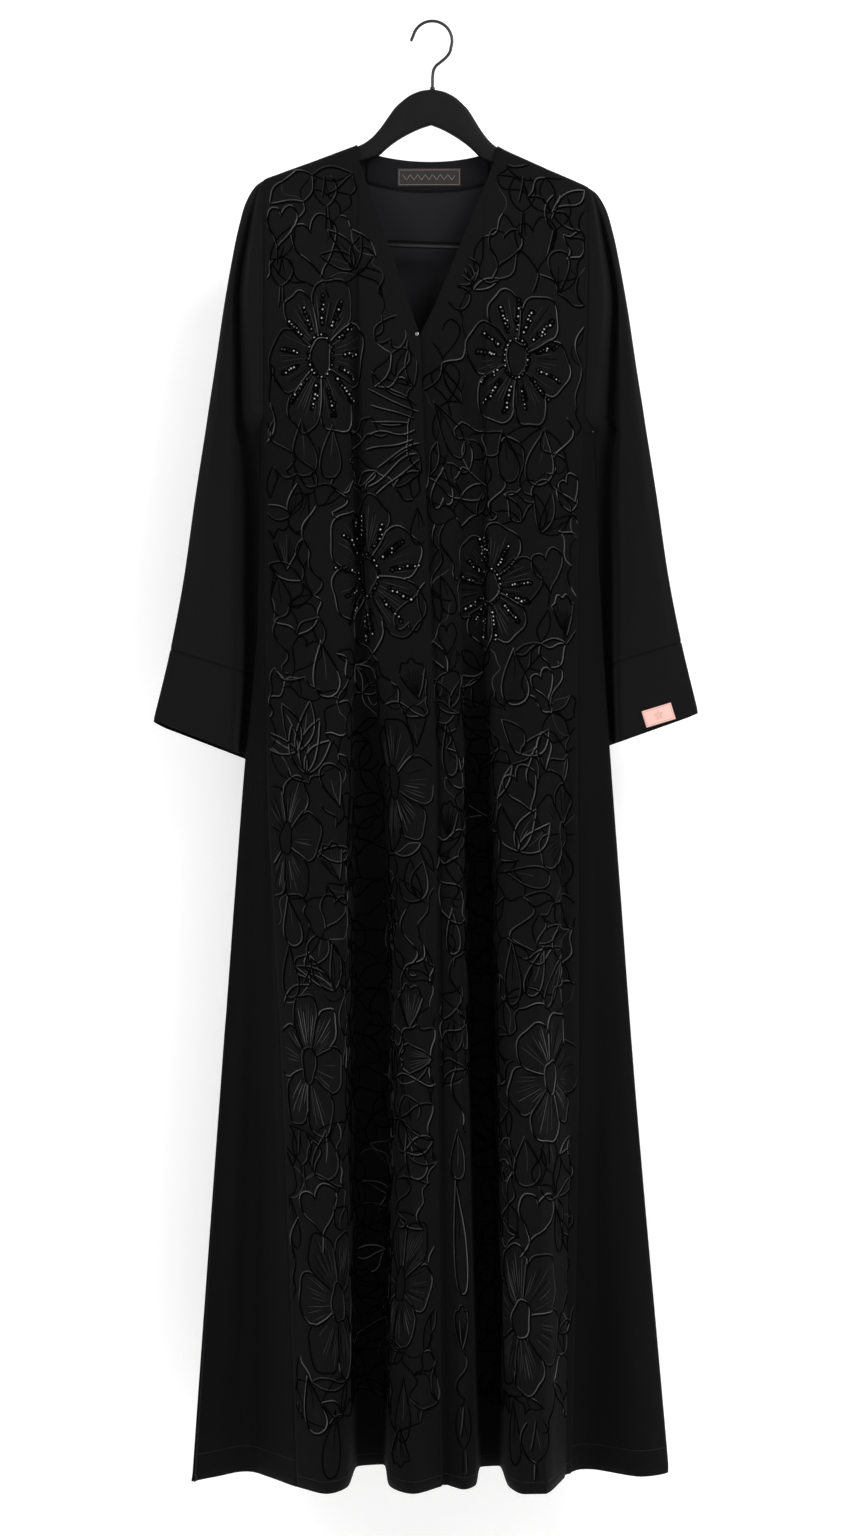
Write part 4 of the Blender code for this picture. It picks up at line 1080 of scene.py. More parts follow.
def plume(draw, wide, tall):
    """A palm leaf: long wavy strokes from one side, the upper ones falling to the other side, the lower rising."""
    threads = []
    t = np.linspace(0, 1, 18)
    for k in range(9):
        foot = -0.42 + 0.1 * k + draw.uniform(-0.03, 0.03)
        tip = foot - 0.42 + 0.125 * k + draw.uniform(-0.05, 0.05)
        start, end = draw.uniform(0.7, 1.1), draw.uniform(-1.05, -0.5)
        sway = draw.uniform(-0.05, 0.05) * tall * np.sin(2 * math.pi * t * draw.uniform(0.7, 1.1))
        across = wide * (start + (end - start) * t)
        down = tall * (foot + (tip - foot) * t ** 1.2) + sway
        threads.append(drawn(np.stack([across, down], 1)))
        if k % 3 == 0:
            threads.append(drawn(np.stack([across, down + 0.05 * tall * np.sin(math.pi * t)], 1)[2:14], CORD * 0.8))
    return threads


def tulip(draw, wide, tall):
    """A closed bud of three petals over a pair of long lines."""
    t = np.linspace(0, 1, 16)
    threads = []
    for side in (-1, 1):
        cup = np.stack([side * wide * np.sin(math.pi * t * 0.86) ** 0.7, tall * (0.55 - 1.25 * t)], 1)
        threads.append(drawn(cup))
        stem = np.stack([side * (1.5 + 0.12 * wide * t ** 2), tall * (0.55 + 0.9 * t)], 1)
        threads.append(drawn(stem, CORD * 0.8))
    tip = draw.uniform(-0.1, 0.1) * wide
    for side in (-1, 1):
        fold = np.stack([tip + side * 0.34 * wide * (1 - t) ** 1.4, -tall * 0.75 + tall * 0.9 * (1 - t)], 1)
        threads.append(drawn(fold, FINE if side > 0 else CORD))
    return threads


def scroll(draw, wide, tall):
    """A wandering line that ends in a hook, with a short branch."""
    t = np.linspace(0, 1, 24)
    swing = draw.choice((-1, 1))
    line = np.stack([swing * wide * np.sin(2 * math.pi * t * draw.uniform(0.8, 1.1)) * (0.5 + 0.5 * t),
                     tall * (2 * t - 1)], 1)
    hook = line[-1] + np.stack([-swing * 0.5 * wide * (1 - np.cos(3.6 * t[:14])),
                                0.3 * tall * np.sin(3.6 * t[:14])], 1)
    branch = line[9] + np.stack([swing * wide * 0.9 * t[:12], -0.5 * tall * t[:12] ** 1.6], 1)
    return [drawn(line), drawn(hook), drawn(branch)]


def fan(draw, wide, tall):
    """A half-open petal: a scalloped edge over a spread of veins from one point."""
    t = np.linspace(-1, 1, 26)
    angle = t * 0.75
    reach = tall * (1.55 + 0.1 * np.cos(9 * t + draw.uniform(0, 6)))
    edge = np.stack([wide * 1.3 * np.sin(angle), -reach * np.cos(angle)], 1) + (0, tall)
    sides = [np.array([[0, tall], edge[k] * (0.55, 0.5) + (0, 0.55 * tall), edge[k]]) for k in (0, -1)]
    threads = [drawn(edge)] + [drawn(refined(side)) for side in sides]
    for k in range(7):
        way = (k - 3) / 3.6 * 0.75
        far = draw.uniform(0.6, 0.92)
        foot = np.array((0, tall))
        end = np.array((wide * 1.3 * math.sin(way), tall - 1.55 * tall * math.cos(way))) * far + foot * (1 - far)
        threads.append(drawn(refined(np.array([foot * 0.86 + end * 0.14, end])), FINE))
    return threads


MOTIFS = {"bloom": bloom, "heart": heart, "drop": drop_leaf, "spray": spray, "plume": plume, "tulip": tulip,
          "scroll": scroll, "fan": fan}
Motif = namedtuple("Motif", "kind across drop wide tall turn shade")
# Where the chief motifs lie: across, drop, half width, half height, turn in degrees, and how bright the cord is,
# which paints light and shade on it.
LEFT_FOLD = (Motif("bloom", -68, 586, 72, 88, 4, 0.8),)
RIGHT_FOLD = (Motif("bloom", 60, 598, 58, 72, -4, 0.7),)
LEFT_INNER = (
    Motif("bloom", -42, 802, 52, 76, 10, 0.5), Motif("bloom", -33, 1327, 42, 78, -8, 0.5),
    Motif("plume", -42, 436, 27, 74, 0, 1.0), Motif("heart", -40, 330, 17, 24, 150, 0.7),
    Motif("scroll", -20, 352, 9, 20, 0, 0.4), Motif("drop", -14, 535, 9, 20, 0, 0.4),
    Motif("heart", -22, 628, 14, 24, 160, 0.5), Motif("fan", -20, 690, 16, 26, 10, 0.4),
    Motif("drop", -16, 745, 12, 22, 180, 0.5), Motif("spray", -18, 905, 22, 26, 20, 0.6),
    Motif("scroll", -26, 965, 14, 30, 0, 0.8), Motif("fan", -24, 1030, 18, 30, 0, 0.5),
    Motif("fan", -22, 1090, 18, 26, 90, 0.5), Motif("tulip", -26, 1140, 14, 22, 200, 0.4),
    Motif("drop", -20, 1190, 14, 26, 20, 0.6), Motif("scroll", -30, 1235, 16, 24, 0, 0.9),
    Motif("drop", -30, 1455, 13, 34, 0, 0.5), Motif("fan", -34, 1500, 18, 26, 180, 0.4),
)
LEFT_OUTER = (
    Motif("bloom", -116, 356, 58, 86, 0, 0.85), Motif("bloom", -152, 862, 44, 72, -6, 0.5),
    Motif("bloom", -128, 1096, 42, 80, 0, 0.7), Motif("bloom", -97, 1345, 54, 86, 6, 0.5),
    Motif("heart", -160, 214, 16, 27, -6, 0.6), Motif("heart", -125, 236, 24, 38, 14, 0.7),
    Motif("tulip", -112, 182, 12, 26, 4, 0.5), Motif("spray", -92, 245, 20, 26, 35, 0.6),
    Motif("tulip", -158, 268, 12, 24, 0, 0.3), Motif("drop", -135, 452, 15, 30, 4, 0.6),
    Motif("drop", -106, 456, 13, 28, -4, 0.7), Motif("scroll", -160, 448, 16, 28, 10, 0.6),
    Motif("spray", -158, 505, 18, 26, 30, 0.4), Motif("scroll", -98, 500, 12, 20, 0, 0.5),
    Motif("fan", -152, 552, 20, 28, 0, 0.5), Motif("drop", -160, 604, 14, 26, 12, 0.6),
    Motif("drop", -136, 520, 12, 22, -20, 0.3), Motif("scroll", -160, 655, 12, 26, 0, 0.5),
    Motif("heart", -134, 668, 16, 24, -30, 0.3), Motif("drop", -112, 684, 16, 30, 6, 0.7),
    Motif("spray", -150, 745, 26, 34, 20, 1.0), Motif("spray", -126, 770, 22, 30, -15, 0.9),
    Motif("drop", -103, 806, 13, 24, 200, 0.7), Motif("fan", -104, 880, 16, 26, 20, 0.5),
    Motif("heart", -104, 935, 16, 22, -20, 0.4), Motif("drop", -146, 948, 14, 26, 10, 0.5),
    Motif("drop", -148, 1000, 13, 28, 0, 0.6), Motif("spray", -112, 1000, 18, 28, 30, 0.7),
    Motif("tulip", -120, 980, 12, 24, -20, 0.5), Motif("drop", -110, 1190, 17, 26, 0, 0.6),
    Motif("tulip", -136, 1186, 12, 28, 4, 0.3), Motif("heart", -120, 1245, 22, 30, 12, 0.8),
    Motif("drop", -144, 1262, 10, 28, 10, 0.2), Motif("drop", -124, 1450, 16, 30, 12, 0.5),
    Motif("drop", -102, 1490, 13, 36, -6, 0.3),
)
RIGHT_OUTER = (
    Motif("bloom", 89, 358, 60, 80, 4, 0.85),
    Motif("bloom", 124, 1110, 52, 72, 0, 0.6), Motif("bloom", 92, 1360, 58, 84, -4, 0.6),
    Motif("bloom", 140, 858, 42, 60, 14, 0.2),
    Motif("heart", 74, 238, 18, 25, -12, 0.6), Motif("heart", 108, 236, 22, 34, 6, 0.6),
    Motif("tulip", 96, 186, 14, 30, 0, 0.5), Motif("drop", 134, 266, 13, 22, 180, 0.5),
    Motif("tulip", 132, 206, 14, 30, -10, 0.5), Motif("drop", 78, 460, 13, 28, 10, 0.5),
    Motif("drop", 114, 462, 17, 30, -6, 0.6), Motif("scroll", 140, 446, 14, 26, 0, 0.8),
    Motif("heart", 144, 494, 12, 18, 30, 0.7), Motif("spray", 122, 522, 18, 26, -20, 0.3),
    Motif("scroll", 70, 500, 12, 22, 0, 0.7), Motif("heart", 120, 578, 18, 26, 10, 0.3),
    Motif("fan", 138, 622, 16, 28, 10, 0.5), Motif("drop", 86, 692, 17, 30, 0, 0.7),
    Motif("heart", 116, 700, 13, 20, 20, 0.4), Motif("scroll", 132, 700, 10, 24, 0, 0.8),
    Motif("spray", 92, 752, 22, 26, 0, 0.6), Motif("heart", 92, 808, 18, 28, 24, 0.7),
    Motif("spray", 98, 850, 24, 32, -18, 0.8), Motif("drop", 100, 900, 13, 26, 80, 0.8),
    Motif("scroll", 96, 950, 18, 28, 0, 0.9), Motif("drop", 110, 998, 11, 28, -16, 0.8),
    Motif("drop", 128, 1010, 9, 30, -26, 0.7), Motif("drop", 84, 1000, 10, 34, 0, 0.4),
    Motif("drop", 98, 1196, 16, 26, 4, 0.6), Motif("tulip", 124, 1196, 13, 28, 10, 0.3),
    Motif("heart", 108, 1250, 22, 30, -14, 0.9), Motif("drop", 132, 1270, 9, 26, 10, 0.3),
    Motif("scroll", 126, 1450, 12, 22, 0, 0.5), Motif("drop", 86, 1480, 13, 34, 0, 0.4),
    Motif("tulip", 108, 1490, 16, 34, 0, 0.4),
)
RIGHT_INNER = (
    Motif("heart", 12, 336, 16, 24, 0, 0.5), Motif("heart", 14, 384, 15, 24, 10, 0.5),
    Motif("drop", 18, 432, 14, 34, 30, 0.5), Motif("heart", 12, 498, 12, 24, 180, 0.6),
    Motif("drop", 22, 290, 14, 20, 60, 0.5), Motif("spray", 38, 268, 16, 20, 60, 0.4),
    Motif("scroll", 14, 556, 10, 26, 0, 0.6), Motif("drop", 16, 606, 10, 22, 20, 0.4),
    Motif("heart", 16, 652, 11, 20, 0, 0.5), Motif("spray", 18, 706, 12, 24, 0, 0.5),
    Motif("drop", 18, 768, 9, 28, 4, 0.6), Motif("fan", 18, 838, 11, 26, 0, 0.3),
    Motif("scroll", 20, 900, 9, 26, 0, 0.4), Motif("drop", 22, 958, 9, 24, 0, 0.8),
    Motif("scroll", 23, 1012, 9, 26, 0, 0.8), Motif("tulip", 24, 1070, 9, 24, 0, 0.4),
    Motif("scroll", 26, 1130, 9, 30, 0, 0.7), Motif("drop", 27, 1190, 10, 26, 0, 0.4),
    Motif("drop", 29, 1275, 9, 62, 3, 0.6), Motif("fan", 31, 1366, 10, 30, 0, 0.4),
    Motif("scroll", 32, 1420, 9, 26, 0, 0.3), Motif("tulip", 34, 1480, 10, 34, 0, 0.4),
)


# How light a cord's tone is before a lighter, glossier look is used for it: painted light, with real gloss.
BRIGHT = 0.62
DIM = 0.33


def gather(ground, low, high, motifs, draw, laid):
    """Every thread of these motifs on the cloth between two fold lines: its points, thickness and tone."""
    for motif in motifs:
        ring = float(ring_at(motif.across, motif.drop, RING[low], RING[high]))
        laid.append((motif, ring))
        for flat, thick in MOTIFS[motif.kind](draw, motif.wide, motif.tall):
            flat = turned(flat, -math.radians(motif.turn))
            shade = motif.shade * (0.75 if narrow(ring) else 1.0)
            yield from pinned(ground, ring, motif.drop, flat, thick, shade, draw)


# Below this drop the cords inside the two valleys are made black, painted shade, and below the next one those on the
# lip of the left valley are made paler, painted light. Both lie between places along the ring of fold lines.
VALLEY_DROP = 720
VALLEY_RINGS = ((2.95, 4.8), (25.2, 27.7))
LIP_DROP = 780
LIP_RINGS = (2.15, 2.95)


def pinned(ground, ring, drop, flat, thick, shade, draw):
    """One thread as it lies on the cloth; a glossy outline cord that is light enough gets a matt black copy laid just
    below and right of it: a painted shadow.
    """
    flat = refined(flat, 3.0 if thick > 0.7 else 4.5)
    tone = min(max(shade + (draw.uniform(-0.35, 0.3) if thick > FAINT else 0.0), 0), 1)
    if thick <= FINE:
        tone = min(tone - 0.3, BRIGHT) if drop < VALLEY_DROP else tone - 0.12
    # Painted shade: black cords deep in the valleys; painted light: paler cords on the lip of the left valley.
    if drop > VALLEY_DROP and any(first < ring < last for first, last in VALLEY_RINGS):
        tone = 0.0
    elif drop > LIP_DROP and LIP_RINGS[0] < ring < LIP_RINGS[1]:
        tone = min(1.0, tone + 0.35)
    strands = [(0.0, 0.0, thick, tone)]
    # Painted shadow: a black cord offset below and to the right of a lit outline cord.
    if thick > 0.55 and tone > DIM:
        strands.append((1.1, 1.6, 1.0, 0.0))
    for right, below, round_by, shown in strands:
        points, out, on_cloth = ground.lay(ring, flat[:, 0] + right, drop + flat[:, 1] + below)
        runs = np.split(np.arange(len(flat)), np.flatnonzero(np.diff(on_cloth.astype(int))) + 1)
        for run in runs:
            if on_cloth[run[0]] and len(run) > 4:
                yield points[run] + out[run] * round_by * 0.35 * MM, round_by, shown


def narrow(ring):
    """Whether a place is on the narrow flute right of the opening, whose embroidery is duller."""
    return ring > RING["right inner shoulder"]


def crosses(start, end, starts, ends):
    """Which of many straight threads a new one would cross, as seen from in front."""
    def side(foot, tip, point):
        return ((tip[..., 0] - foot[..., 0]) * (point[..., 2] - foot[..., 2])
                - (tip[..., 2] - foot[..., 2]) * (point[..., 0] - foot[..., 0]))

    return ((side(start, end, starts) * side(start, end, ends) < 0)
            & (side(starts, ends, start) * side(starts, ends, end) < 0))


# The network stops above the hem, and higher on the narrow flute right of the opening.
BARE_FLUTE_RING = RING["right valley near foot"] + 0.3
BARE_FLUTE_DROP = 1120
BARE_HEM = 70
NETWORK_CELL = 22.0


def network(ground, draw, laid, rings, spacing):
    """Wandering lines between scattered knots, which fill what the chief motifs leave bare with leaf-shaped cells."""
    middles = np.array([middle for middle, _ in laid])
    reaches = np.array([reach - 2.0 for _, reach in laid]) * MM
    knots = []
    for _ in range(40):
        ring = np.array([draw.uniform(*rings) for _ in range(160)])
        drop = np.array([draw.uniform(146, HEM - 20) for _ in range(160)])
        for one_ring, one_drop in zip(ring, drop):
            here, _, on_cloth = ground.spot(one_ring, one_drop)
            if not on_cloth or (np.linalg.norm(middles - here, axis=1) < reaches).any():
                continue
            if (one_ring > BARE_FLUTE_RING and one_drop > BARE_FLUTE_DROP) or one_drop > HEM - BARE_HEM:
                continue
            room = spacing * draw.uniform(0.75, 1.25) * MM
            if not knots or np.linalg.norm(np.array([knot[2] for knot in knots]) - here, axis=1).min() > room:
                knots.append((one_ring, one_drop, here))
    places = np.array([knot[2] for knot in knots])
    drawn_links, sewn = set(), []
    for first, (ring, drop, here) in enumerate(knots):
        away = np.linalg.norm(places - here, axis=1)
        nearest = [int(k) for k in np.argsort(away)[1:8] if away[k] < 2.1 * spacing * MM]
        for second in nearest[:draw.choice((3, 4, 5))]:
            half_way = (here + places[second]) / 2
            if (second, first) in drawn_links or (first, second) in drawn_links:
                continue
            if (np.linalg.norm(middles - half_way, axis=1) < reaches).any():
                continue
            if sewn:
                starts, ends = np.array(sewn)[:, 0], np.array(sewn)[:, 1]
                near = np.linalg.norm((starts + ends) / 2 - half_way, axis=1)
                if near.min() < 0.36 * spacing * MM or (crosses(here, places[second], starts, ends)
                                                        & (near < 2 * spacing * MM)).any():
                    continue
            sewn.append((here, places[second]))
            drawn_links.add((first, second))
            aside, below = ground.apart(knots[first][:2], knots[second][:2])
            chord = np.array((aside, below))
            across_it = np.array((-chord[1], chord[0]))
            t = np.linspace(0, 1, 12)
            bow, wave = draw.choice((-1, 1)) * draw.uniform(0.04, 0.26), draw.uniform(-0.12, 0.12)
            ease = bow * np.sin(math.pi * t ** draw.uniform(0.7, 1.4)) + wave * np.sin(2 * math.pi * t)
            line = chord * t[:, None] + across_it * ease[:, None]
            thick = CORD if draw.random() < 0.8 else FINE * 1.3
            shade = draw.uniform(0.0, 0.95) * (0.75 if narrow(ring) else 1.0) * (0.65 if drop > 1405 else 1.0)
            yield from pinned(ground, ring, drop, line, thick, shade, draw)
            if away[second] > 1.3 * spacing * MM and draw.random() < 0.5:
                other_side = -math.copysign(draw.uniform(0.12, 0.24), bow) * np.sin(math.pi * t ** 0.9)
                leaf = chord * t[:, None] + across_it * other_side[:, None]
                yield from pinned(ground, ring, drop, leaf, CORD, shade, draw)


def cord_finish(name, colour, lighter, rough, smooth_turns, specular):
    """Satin cord: close shining turns of thread, glossier in some lengths than in others."""
    cord = Finish(name, Specular_IOR_Level=specular)
    turns = cord.noise(1700.0, 1.0)
    patches = cord.node("ShaderNodeMapRange", {"clamp": True},
                        {"Value": cord.noise(24.0, 2.0), "From Min": 0.36, "From Max": 0.64})
    cord.set("Base Color", cord.mix(patches * 0.85 + turns * 0.3 - 0.1, colour, lighter))
    cord.set("Roughness", turns * 0.12 + patches * (smooth_turns - rough) + (rough - 0.06))
    cord.bump(turns, 0.0002, 0.4)
    return cord.material


# Three copies of the one satin cord, each lighter and glossier than the last, chosen by a thread's tone: painted
# light and shade on the cords, with real gloss. The black one also serves for painted shadows.
cord_looks = (
    cord_finish("black_cord_painted_shade", (0.0003, 0.0003, 0.0003), (0.0010, 0.0010, 0.0010), 0.9, 0.8, 0.02),
    cord_finish("dim_cord", (0.0008, 0.0008, 0.0008), (0.011, 0.011, 0.0108), 0.9, 0.5, 0.4),
    cord_finish("bright_cord", (0.002, 0.002, 0.002), (0.036, 0.0356, 0.035), 0.9, 0.45, 0.8),
)


def embroidery(name, threads):
    """One mesh of cords and threads that taper at their ends, each in the lighter and glossier look the lighter its
    tone is: painted light and shade.
    """
    runs = []
    for points, thick, tone in threads:
        ends = np.minimum(np.arange(len(points)), np.arange(len(points))[::-1])
        taper = np.where(ends == 0, 0.45, np.where(ends == 1, 0.85, 1.0))
        runs.append((points, thick * taper, 2 if tone > BRIGHT else 1 if tone > DIM else 0))
    mounted(name, round_threads(name, runs, cord_looks, 1.0))


def front_embroidery(name, ground, groups, seed, start, end):
    """Sew one front: the chief motifs, and then the network between two fold lines round the room they take."""
    draw = random.Random(seed)
    threads, chief = [], []
    for low, high, motifs in groups:
        threads += list(gather(ground, low, high, motifs, draw, chief))
    laid = []
    for motif, ring in chief:
        if motif.kind == "bloom":
            asides, belows, reach = (-0.34, 0.34), (-0.5, 0.0, 0.5), 0.62
        else:
            asides, belows, reach = (0.0,), (-0.35, 0.35), 0.85
        for aside in asides:
            for below in belows:
                middle = ground.spot(ring, motif.drop + below * motif.tall, aside * motif.wide)[0]
                laid.append((middle, reach * motif.wide))
    embroidery(name + "_motifs", threads)
    embroidery(name + "_network", network(ground, draw, laid, (RING[start], RING[end]), NETWORK_CELL))
    return chief


left_chief = front_embroidery(
    "embroidery_left", left_ground,
    (("left centre edge", "left inner shoulder", LEFT_INNER), ("left outer shoulder", "left panel seam", LEFT_OUTER),
     ("left inner crest", "left outer crest", LEFT_FOLD)),
    7, "left centre edge", "left panel seam",
)
right_chief = front_embroidery(
    "embroidery_right", right_ground,
    (("right panel seam", "right outer shoulder", RIGHT_OUTER),
     ("right outer crest", "right inner crest", RIGHT_FOLD),
     ("right inner shoulder", "right line under the left edge", RIGHT_INNER)),
    11, "right panel seam", "right line under the left edge",
)


# ---------------------------------------------------------------- beads
# Black faceted glass beads are sewn by hand on the upper flowers: an oval of them round each eye and short rows
# out along the petals. Each sits on a pad of black thread, wider than the bead to paint the shade round it, and
# white is painted round the outermost point of each bead, fully on about half of them: a painted glint.
BEAD_RADIUS = 2.0
PAD_DEPTH = 0.9
BEADED_ABOVE = 700
bead_look = Finish("black_glass_painted_glint", Roughness=0.3, Specular_IOR_Level=0.02)
# Painted glint: white, with a little metal, painted round the outermost point of each bead.
painted_glint = bead_look.node("ShaderNodeAttribute", {"attribute_name": "painted_glint"}, out="Fac") ** 2.6
glint_paint = painted_glint * (bead_look.noise(900.0, 0.0) * 0.5 + 0.75)
bead_look.set("Base Color", bead_look.mix(glint_paint, (0.0006, 0.0006, 0.0007), (0.98, 0.98, 1.0)))
bead_look.set("Metallic", glint_paint * 0.3)


def bead_rows(draw, wide, tall):
    """Where the beads of one flower go, and how large each one is."""
    beads = []
    around, rays = 22, 13
    for k in range(around):
        angle = 2 * math.pi * k / around
        beads.append((0.22 * wide * math.sin(angle), 0.26 * tall * math.cos(angle), draw.uniform(0.7, 0.95)))
    for k in range(rays):
        angle = 2 * math.pi * (k + draw.uniform(-0.2, 0.2)) / rays
        start = draw.uniform(0.36, 0.44)
        count = draw.choice((6, 7, 7, 8))
        for j in range(count):
            far = start + 0.056 * j
            sway = draw.uniform(-0.02, 0.02)
            right, below = wide * far * math.sin(angle + sway), -tall * far * math.cos(angle + sway)
            beads.append((right, below, draw.uniform(0.75, 1.15)))
            if j in (2, 3) and draw.random() < 0.35:
                beads.append((right + 2.6, below + 1.2, draw.uniform(0.6, 0.9)))
    return beads


def beadwork(name, ground, flowers, seed):
    """Sew the beads on; each sits on a pad of black thread, wider than the bead, that paints the shade round it."""
    draw = random.Random(seed)
    beads = bmesh.new()
    thread_and_shadow_pads = bmesh.new()
    painted_glint_layer = beads.verts.layers.float.new("painted_glint")
    for motif, ring in flowers:
        spots = bead_rows(draw, motif.wide, motif.tall)
        aside = np.array([spot[0] for spot in spots])
        below = np.array([spot[1] for spot in spots])
        points, out, on_cloth = ground.lay(ring, aside, motif.drop + below)
        for spot, point, away, sewn_on in zip(spots, points, out, on_cloth):
            if not sewn_on:
                continue
            radius = BEAD_RADIUS * spot[2] * MM
            turn = Matrix.Rotation(draw.uniform(0, 3), 4, "Z") @ Matrix.Rotation(draw.uniform(0, 3), 4, "X")
            seat = Matrix.Translation(Vector(point + away * radius * 0.8)) @ turn
            bead = bmesh.ops.create_icosphere(beads, subdivisions=1, radius=radius, matrix=seat)["verts"]
            # Painted glint: the bead's outermost point, fully on about half of the beads and faintly on the rest.
            outer = max(bead, key=lambda vert: (vert.co - seat.translation).dot(Vector(away)))
            outer[painted_glint_layer] = 1.0 if draw.random() < 0.45 else draw.uniform(0.15, 0.6)
            # Painted shade: a black disc of thread wider than the bead, under it.
            upright = Vector(away).to_track_quat("Z", "Y").to_matrix().to_4x4()
            under = Matrix.Translation(Vector(point + away * PAD_DEPTH / 2 * MM)) @ upright
            bmesh.ops.create_cone(thread_and_shadow_pads, cap_ends=True, segments=9, radius1=radius * 1.7, radius2=radius * 1.1,
                                  depth=PAD_DEPTH * MM, matrix=under)
    made = piece_of(name, beads, bead_look.material)
    for face in made.data.polygons:
        face.use_smooth = False
    piece_of(name.replace("beads", "bead_thread_and_shadow_pads"), thread_and_shadow_pads, cord_looks[0])


def beaded(chief):
    return [(motif, ring) for motif, ring in chief if motif.kind == "bloom" and motif.drop < BEADED_ABOVE]


beadwork("beads_left", left_ground, beaded(left_chief), 3)
beadwork("beads_right", right_ground, beaded(right_chief), 5)


# ---------------------------------------------------------------- cuff label
# A small ribbon tab in pink satin is sewn flat on the outside of the right cuff. It has a stitched edge and a plain
# five-petalled flower in the same thread.
LABEL_CUFF_CENTRE = (239.6, 732.3)
LABEL_CUFF_SIZE = (32.0, 18.0)
LABEL_CUFF_TILT = math.radians(17)
LABEL_LIFT = 1.1
TAB_SEAM_IN = 1.5
PETAL_LENGTH = 4.6


def on_right_cuff(along, below, lift):
    """Points on the right sleeve, this far along and down from the label's middle and out from the cloth."""
    across = LABEL_CUFF_CENTRE[0] + along * math.cos(LABEL_CUFF_TILT) + below * math.sin(LABEL_CUFF_TILT)
    drop = LABEL_CUFF_CENTRE[1] - along * math.sin(LABEL_CUFF_TILT) + below * math.cos(LABEL_CUFF_TILT)
    right = SIDES["right"]
    ring = np.full(across.shape, 3.8)
    row = np.full(across.shape, CUFF_HEM - 0.3)
    for _ in range(12):
        here = sleeve(right, ring, row)
        by_ring = (sleeve(right, ring + 0.01, row) - here) / 0.01
        by_row = (sleeve(right, ring, row + 0.01) - here) / 0.01
        miss_x = across * MM - here[..., 0]
        miss_z = -(drop + RAIL) * MM - here[..., 2]
        scale = by_ring[..., 0] * by_row[..., 2] - by_row[..., 0] * by_ring[..., 2]
        ring = ring + (miss_x * by_row[..., 2] - by_row[..., 0] * miss_z) / scale
        row = row + (by_ring[..., 0] * miss_z - miss_x * by_ring[..., 2]) / scale
    out = np.cross(by_row, by_ring)
    out = out / np.linalg.norm(out, axis=-1, keepdims=True)
    return sleeve(right, ring, row) + out * lift * MM


tab_x, tab_y = LABEL_CUFF_SIZE[0] / 2, LABEL_CUFF_SIZE[1] / 2
tab_grid = np.meshgrid(np.linspace(-tab_x, tab_x, 25), np.linspace(-tab_y, tab_y, 15))
pink_look = satin_finish("pink_satin", (0.80, 0.44, 0.38), (0.86, 0.53, 0.47), 0.55)
tab_points = on_right_cuff(*tab_grid, LABEL_LIFT)[:, ::-1]
cloth_piece("cuff_label", tab_points, pink_look, thick=RIBBON_THICK)

tab_seam = rectangle(TAB_SEAM_IN - tab_x, tab_x - TAB_SEAM_IN, TAB_SEAM_IN - tab_y, tab_y - TAB_SEAM_IN)
petal_turn = np.linspace(0, 2 * math.pi, 90)
petal_reach = PETAL_LENGTH * (0.62 + 0.38 * np.cos(5 * petal_turn))
flower = np.stack([petal_reach * np.sin(petal_turn), -petal_reach * np.cos(petal_turn)], 1)
tab_rows = rows_on(on_right_cuff, LABEL_LIFT, (tab_seam, flower))
rose_thread = thread_finish("rose_thread", (0.30, 0.13, 0.11), (0.45, 0.22, 0.2))
stitches("cuff_label_stitches", tab_rows, rose_thread, stitch=1.3, gap=0.7)


# ---------------------------------------------------------------- snap
# A small pressed steel snap at the point of the V, sewn on the left front's corner: a domed disc with a rolled rim.
SNAP_RADIUS = 1.8
SNAP_THICK = 1.0
SNAP_DROP = 348.0
RIM_WIDTH = 0.35
WELL_WIDTH = 0.5
WELL_DEPTH = 0.25
DOME_RISE = 0.45
SHARP_EDGE = 0.9


def inner_face(mesh):
    return max(mesh.faces, key=lambda face: len(face.verts))


def grown_from(mesh, faces):
    """The vertices of the far side of a solid grown from these faces."""
    grown = bmesh.ops.extrude_face_region(mesh, geom=faces, use_keep_orig=True)
    return [item for item in grown["geom"] if isinstance(item, bmesh.types.BMVert)]


def rounded(mesh, edges, radius, segments):
    bmesh.ops.bevel(mesh, geom=edges, offset=radius * MM, segments=segments, profile=0.5, affect="EDGES",
                    clamp_overlap=True, material=-1)


snap_low, snap_high = (Vector(corner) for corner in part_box("snap"))
snap_middle = (snap_low + snap_high) / 2
snap = bmesh.new()
bmesh.ops.create_circle(snap, cap_ends=True, segments=28, radius=SNAP_RADIUS * MM)
bmesh.ops.inset_region(snap, faces=snap.faces[:], thickness=RIM_WIDTH * MM)
bmesh.ops.inset_region(snap, faces=[inner_face(snap)], thickness=WELL_WIDTH * MM)
dome = inner_face(snap)
bmesh.ops.translate(snap, vec=(0, 0, -WELL_DEPTH * MM), verts=dome.verts)
bmesh.ops.inset_region(snap, faces=[dome], thickness=WELL_DEPTH * MM, depth=DOME_RISE * MM)
for vert in grown_from(snap, snap.faces[:]):
    vert.co.z = -0.55 * SNAP_THICK * MM
bmesh.ops.recalc_face_normals(snap, faces=snap.faces)
rims = [edge for edge in snap.edges if edge.is_manifold and edge.calc_face_angle(0) > SHARP_EDGE]
rounded(snap, rims, 0.09, 2)
snap_out = left_ground.spot(0.5, SNAP_DROP)[1]
face_out = Vector((0, 0, 1)).rotation_difference(Vector(snap_out)).to_matrix()
bmesh.ops.rotate(snap, cent=(0, 0, 0), matrix=face_out, verts=snap.verts)
bmesh.ops.translate(snap, vec=snap_middle, verts=snap.verts)
steel = Finish("snap_steel", Metallic=1.0)
wear = steel.noise(1600.0, 3.0)
steel.set("Base Color", steel.mix(wear, (0.26, 0.26, 0.265), (0.42, 0.42, 0.425)))
steel.set("Roughness", wear * 0.2 + 0.16)
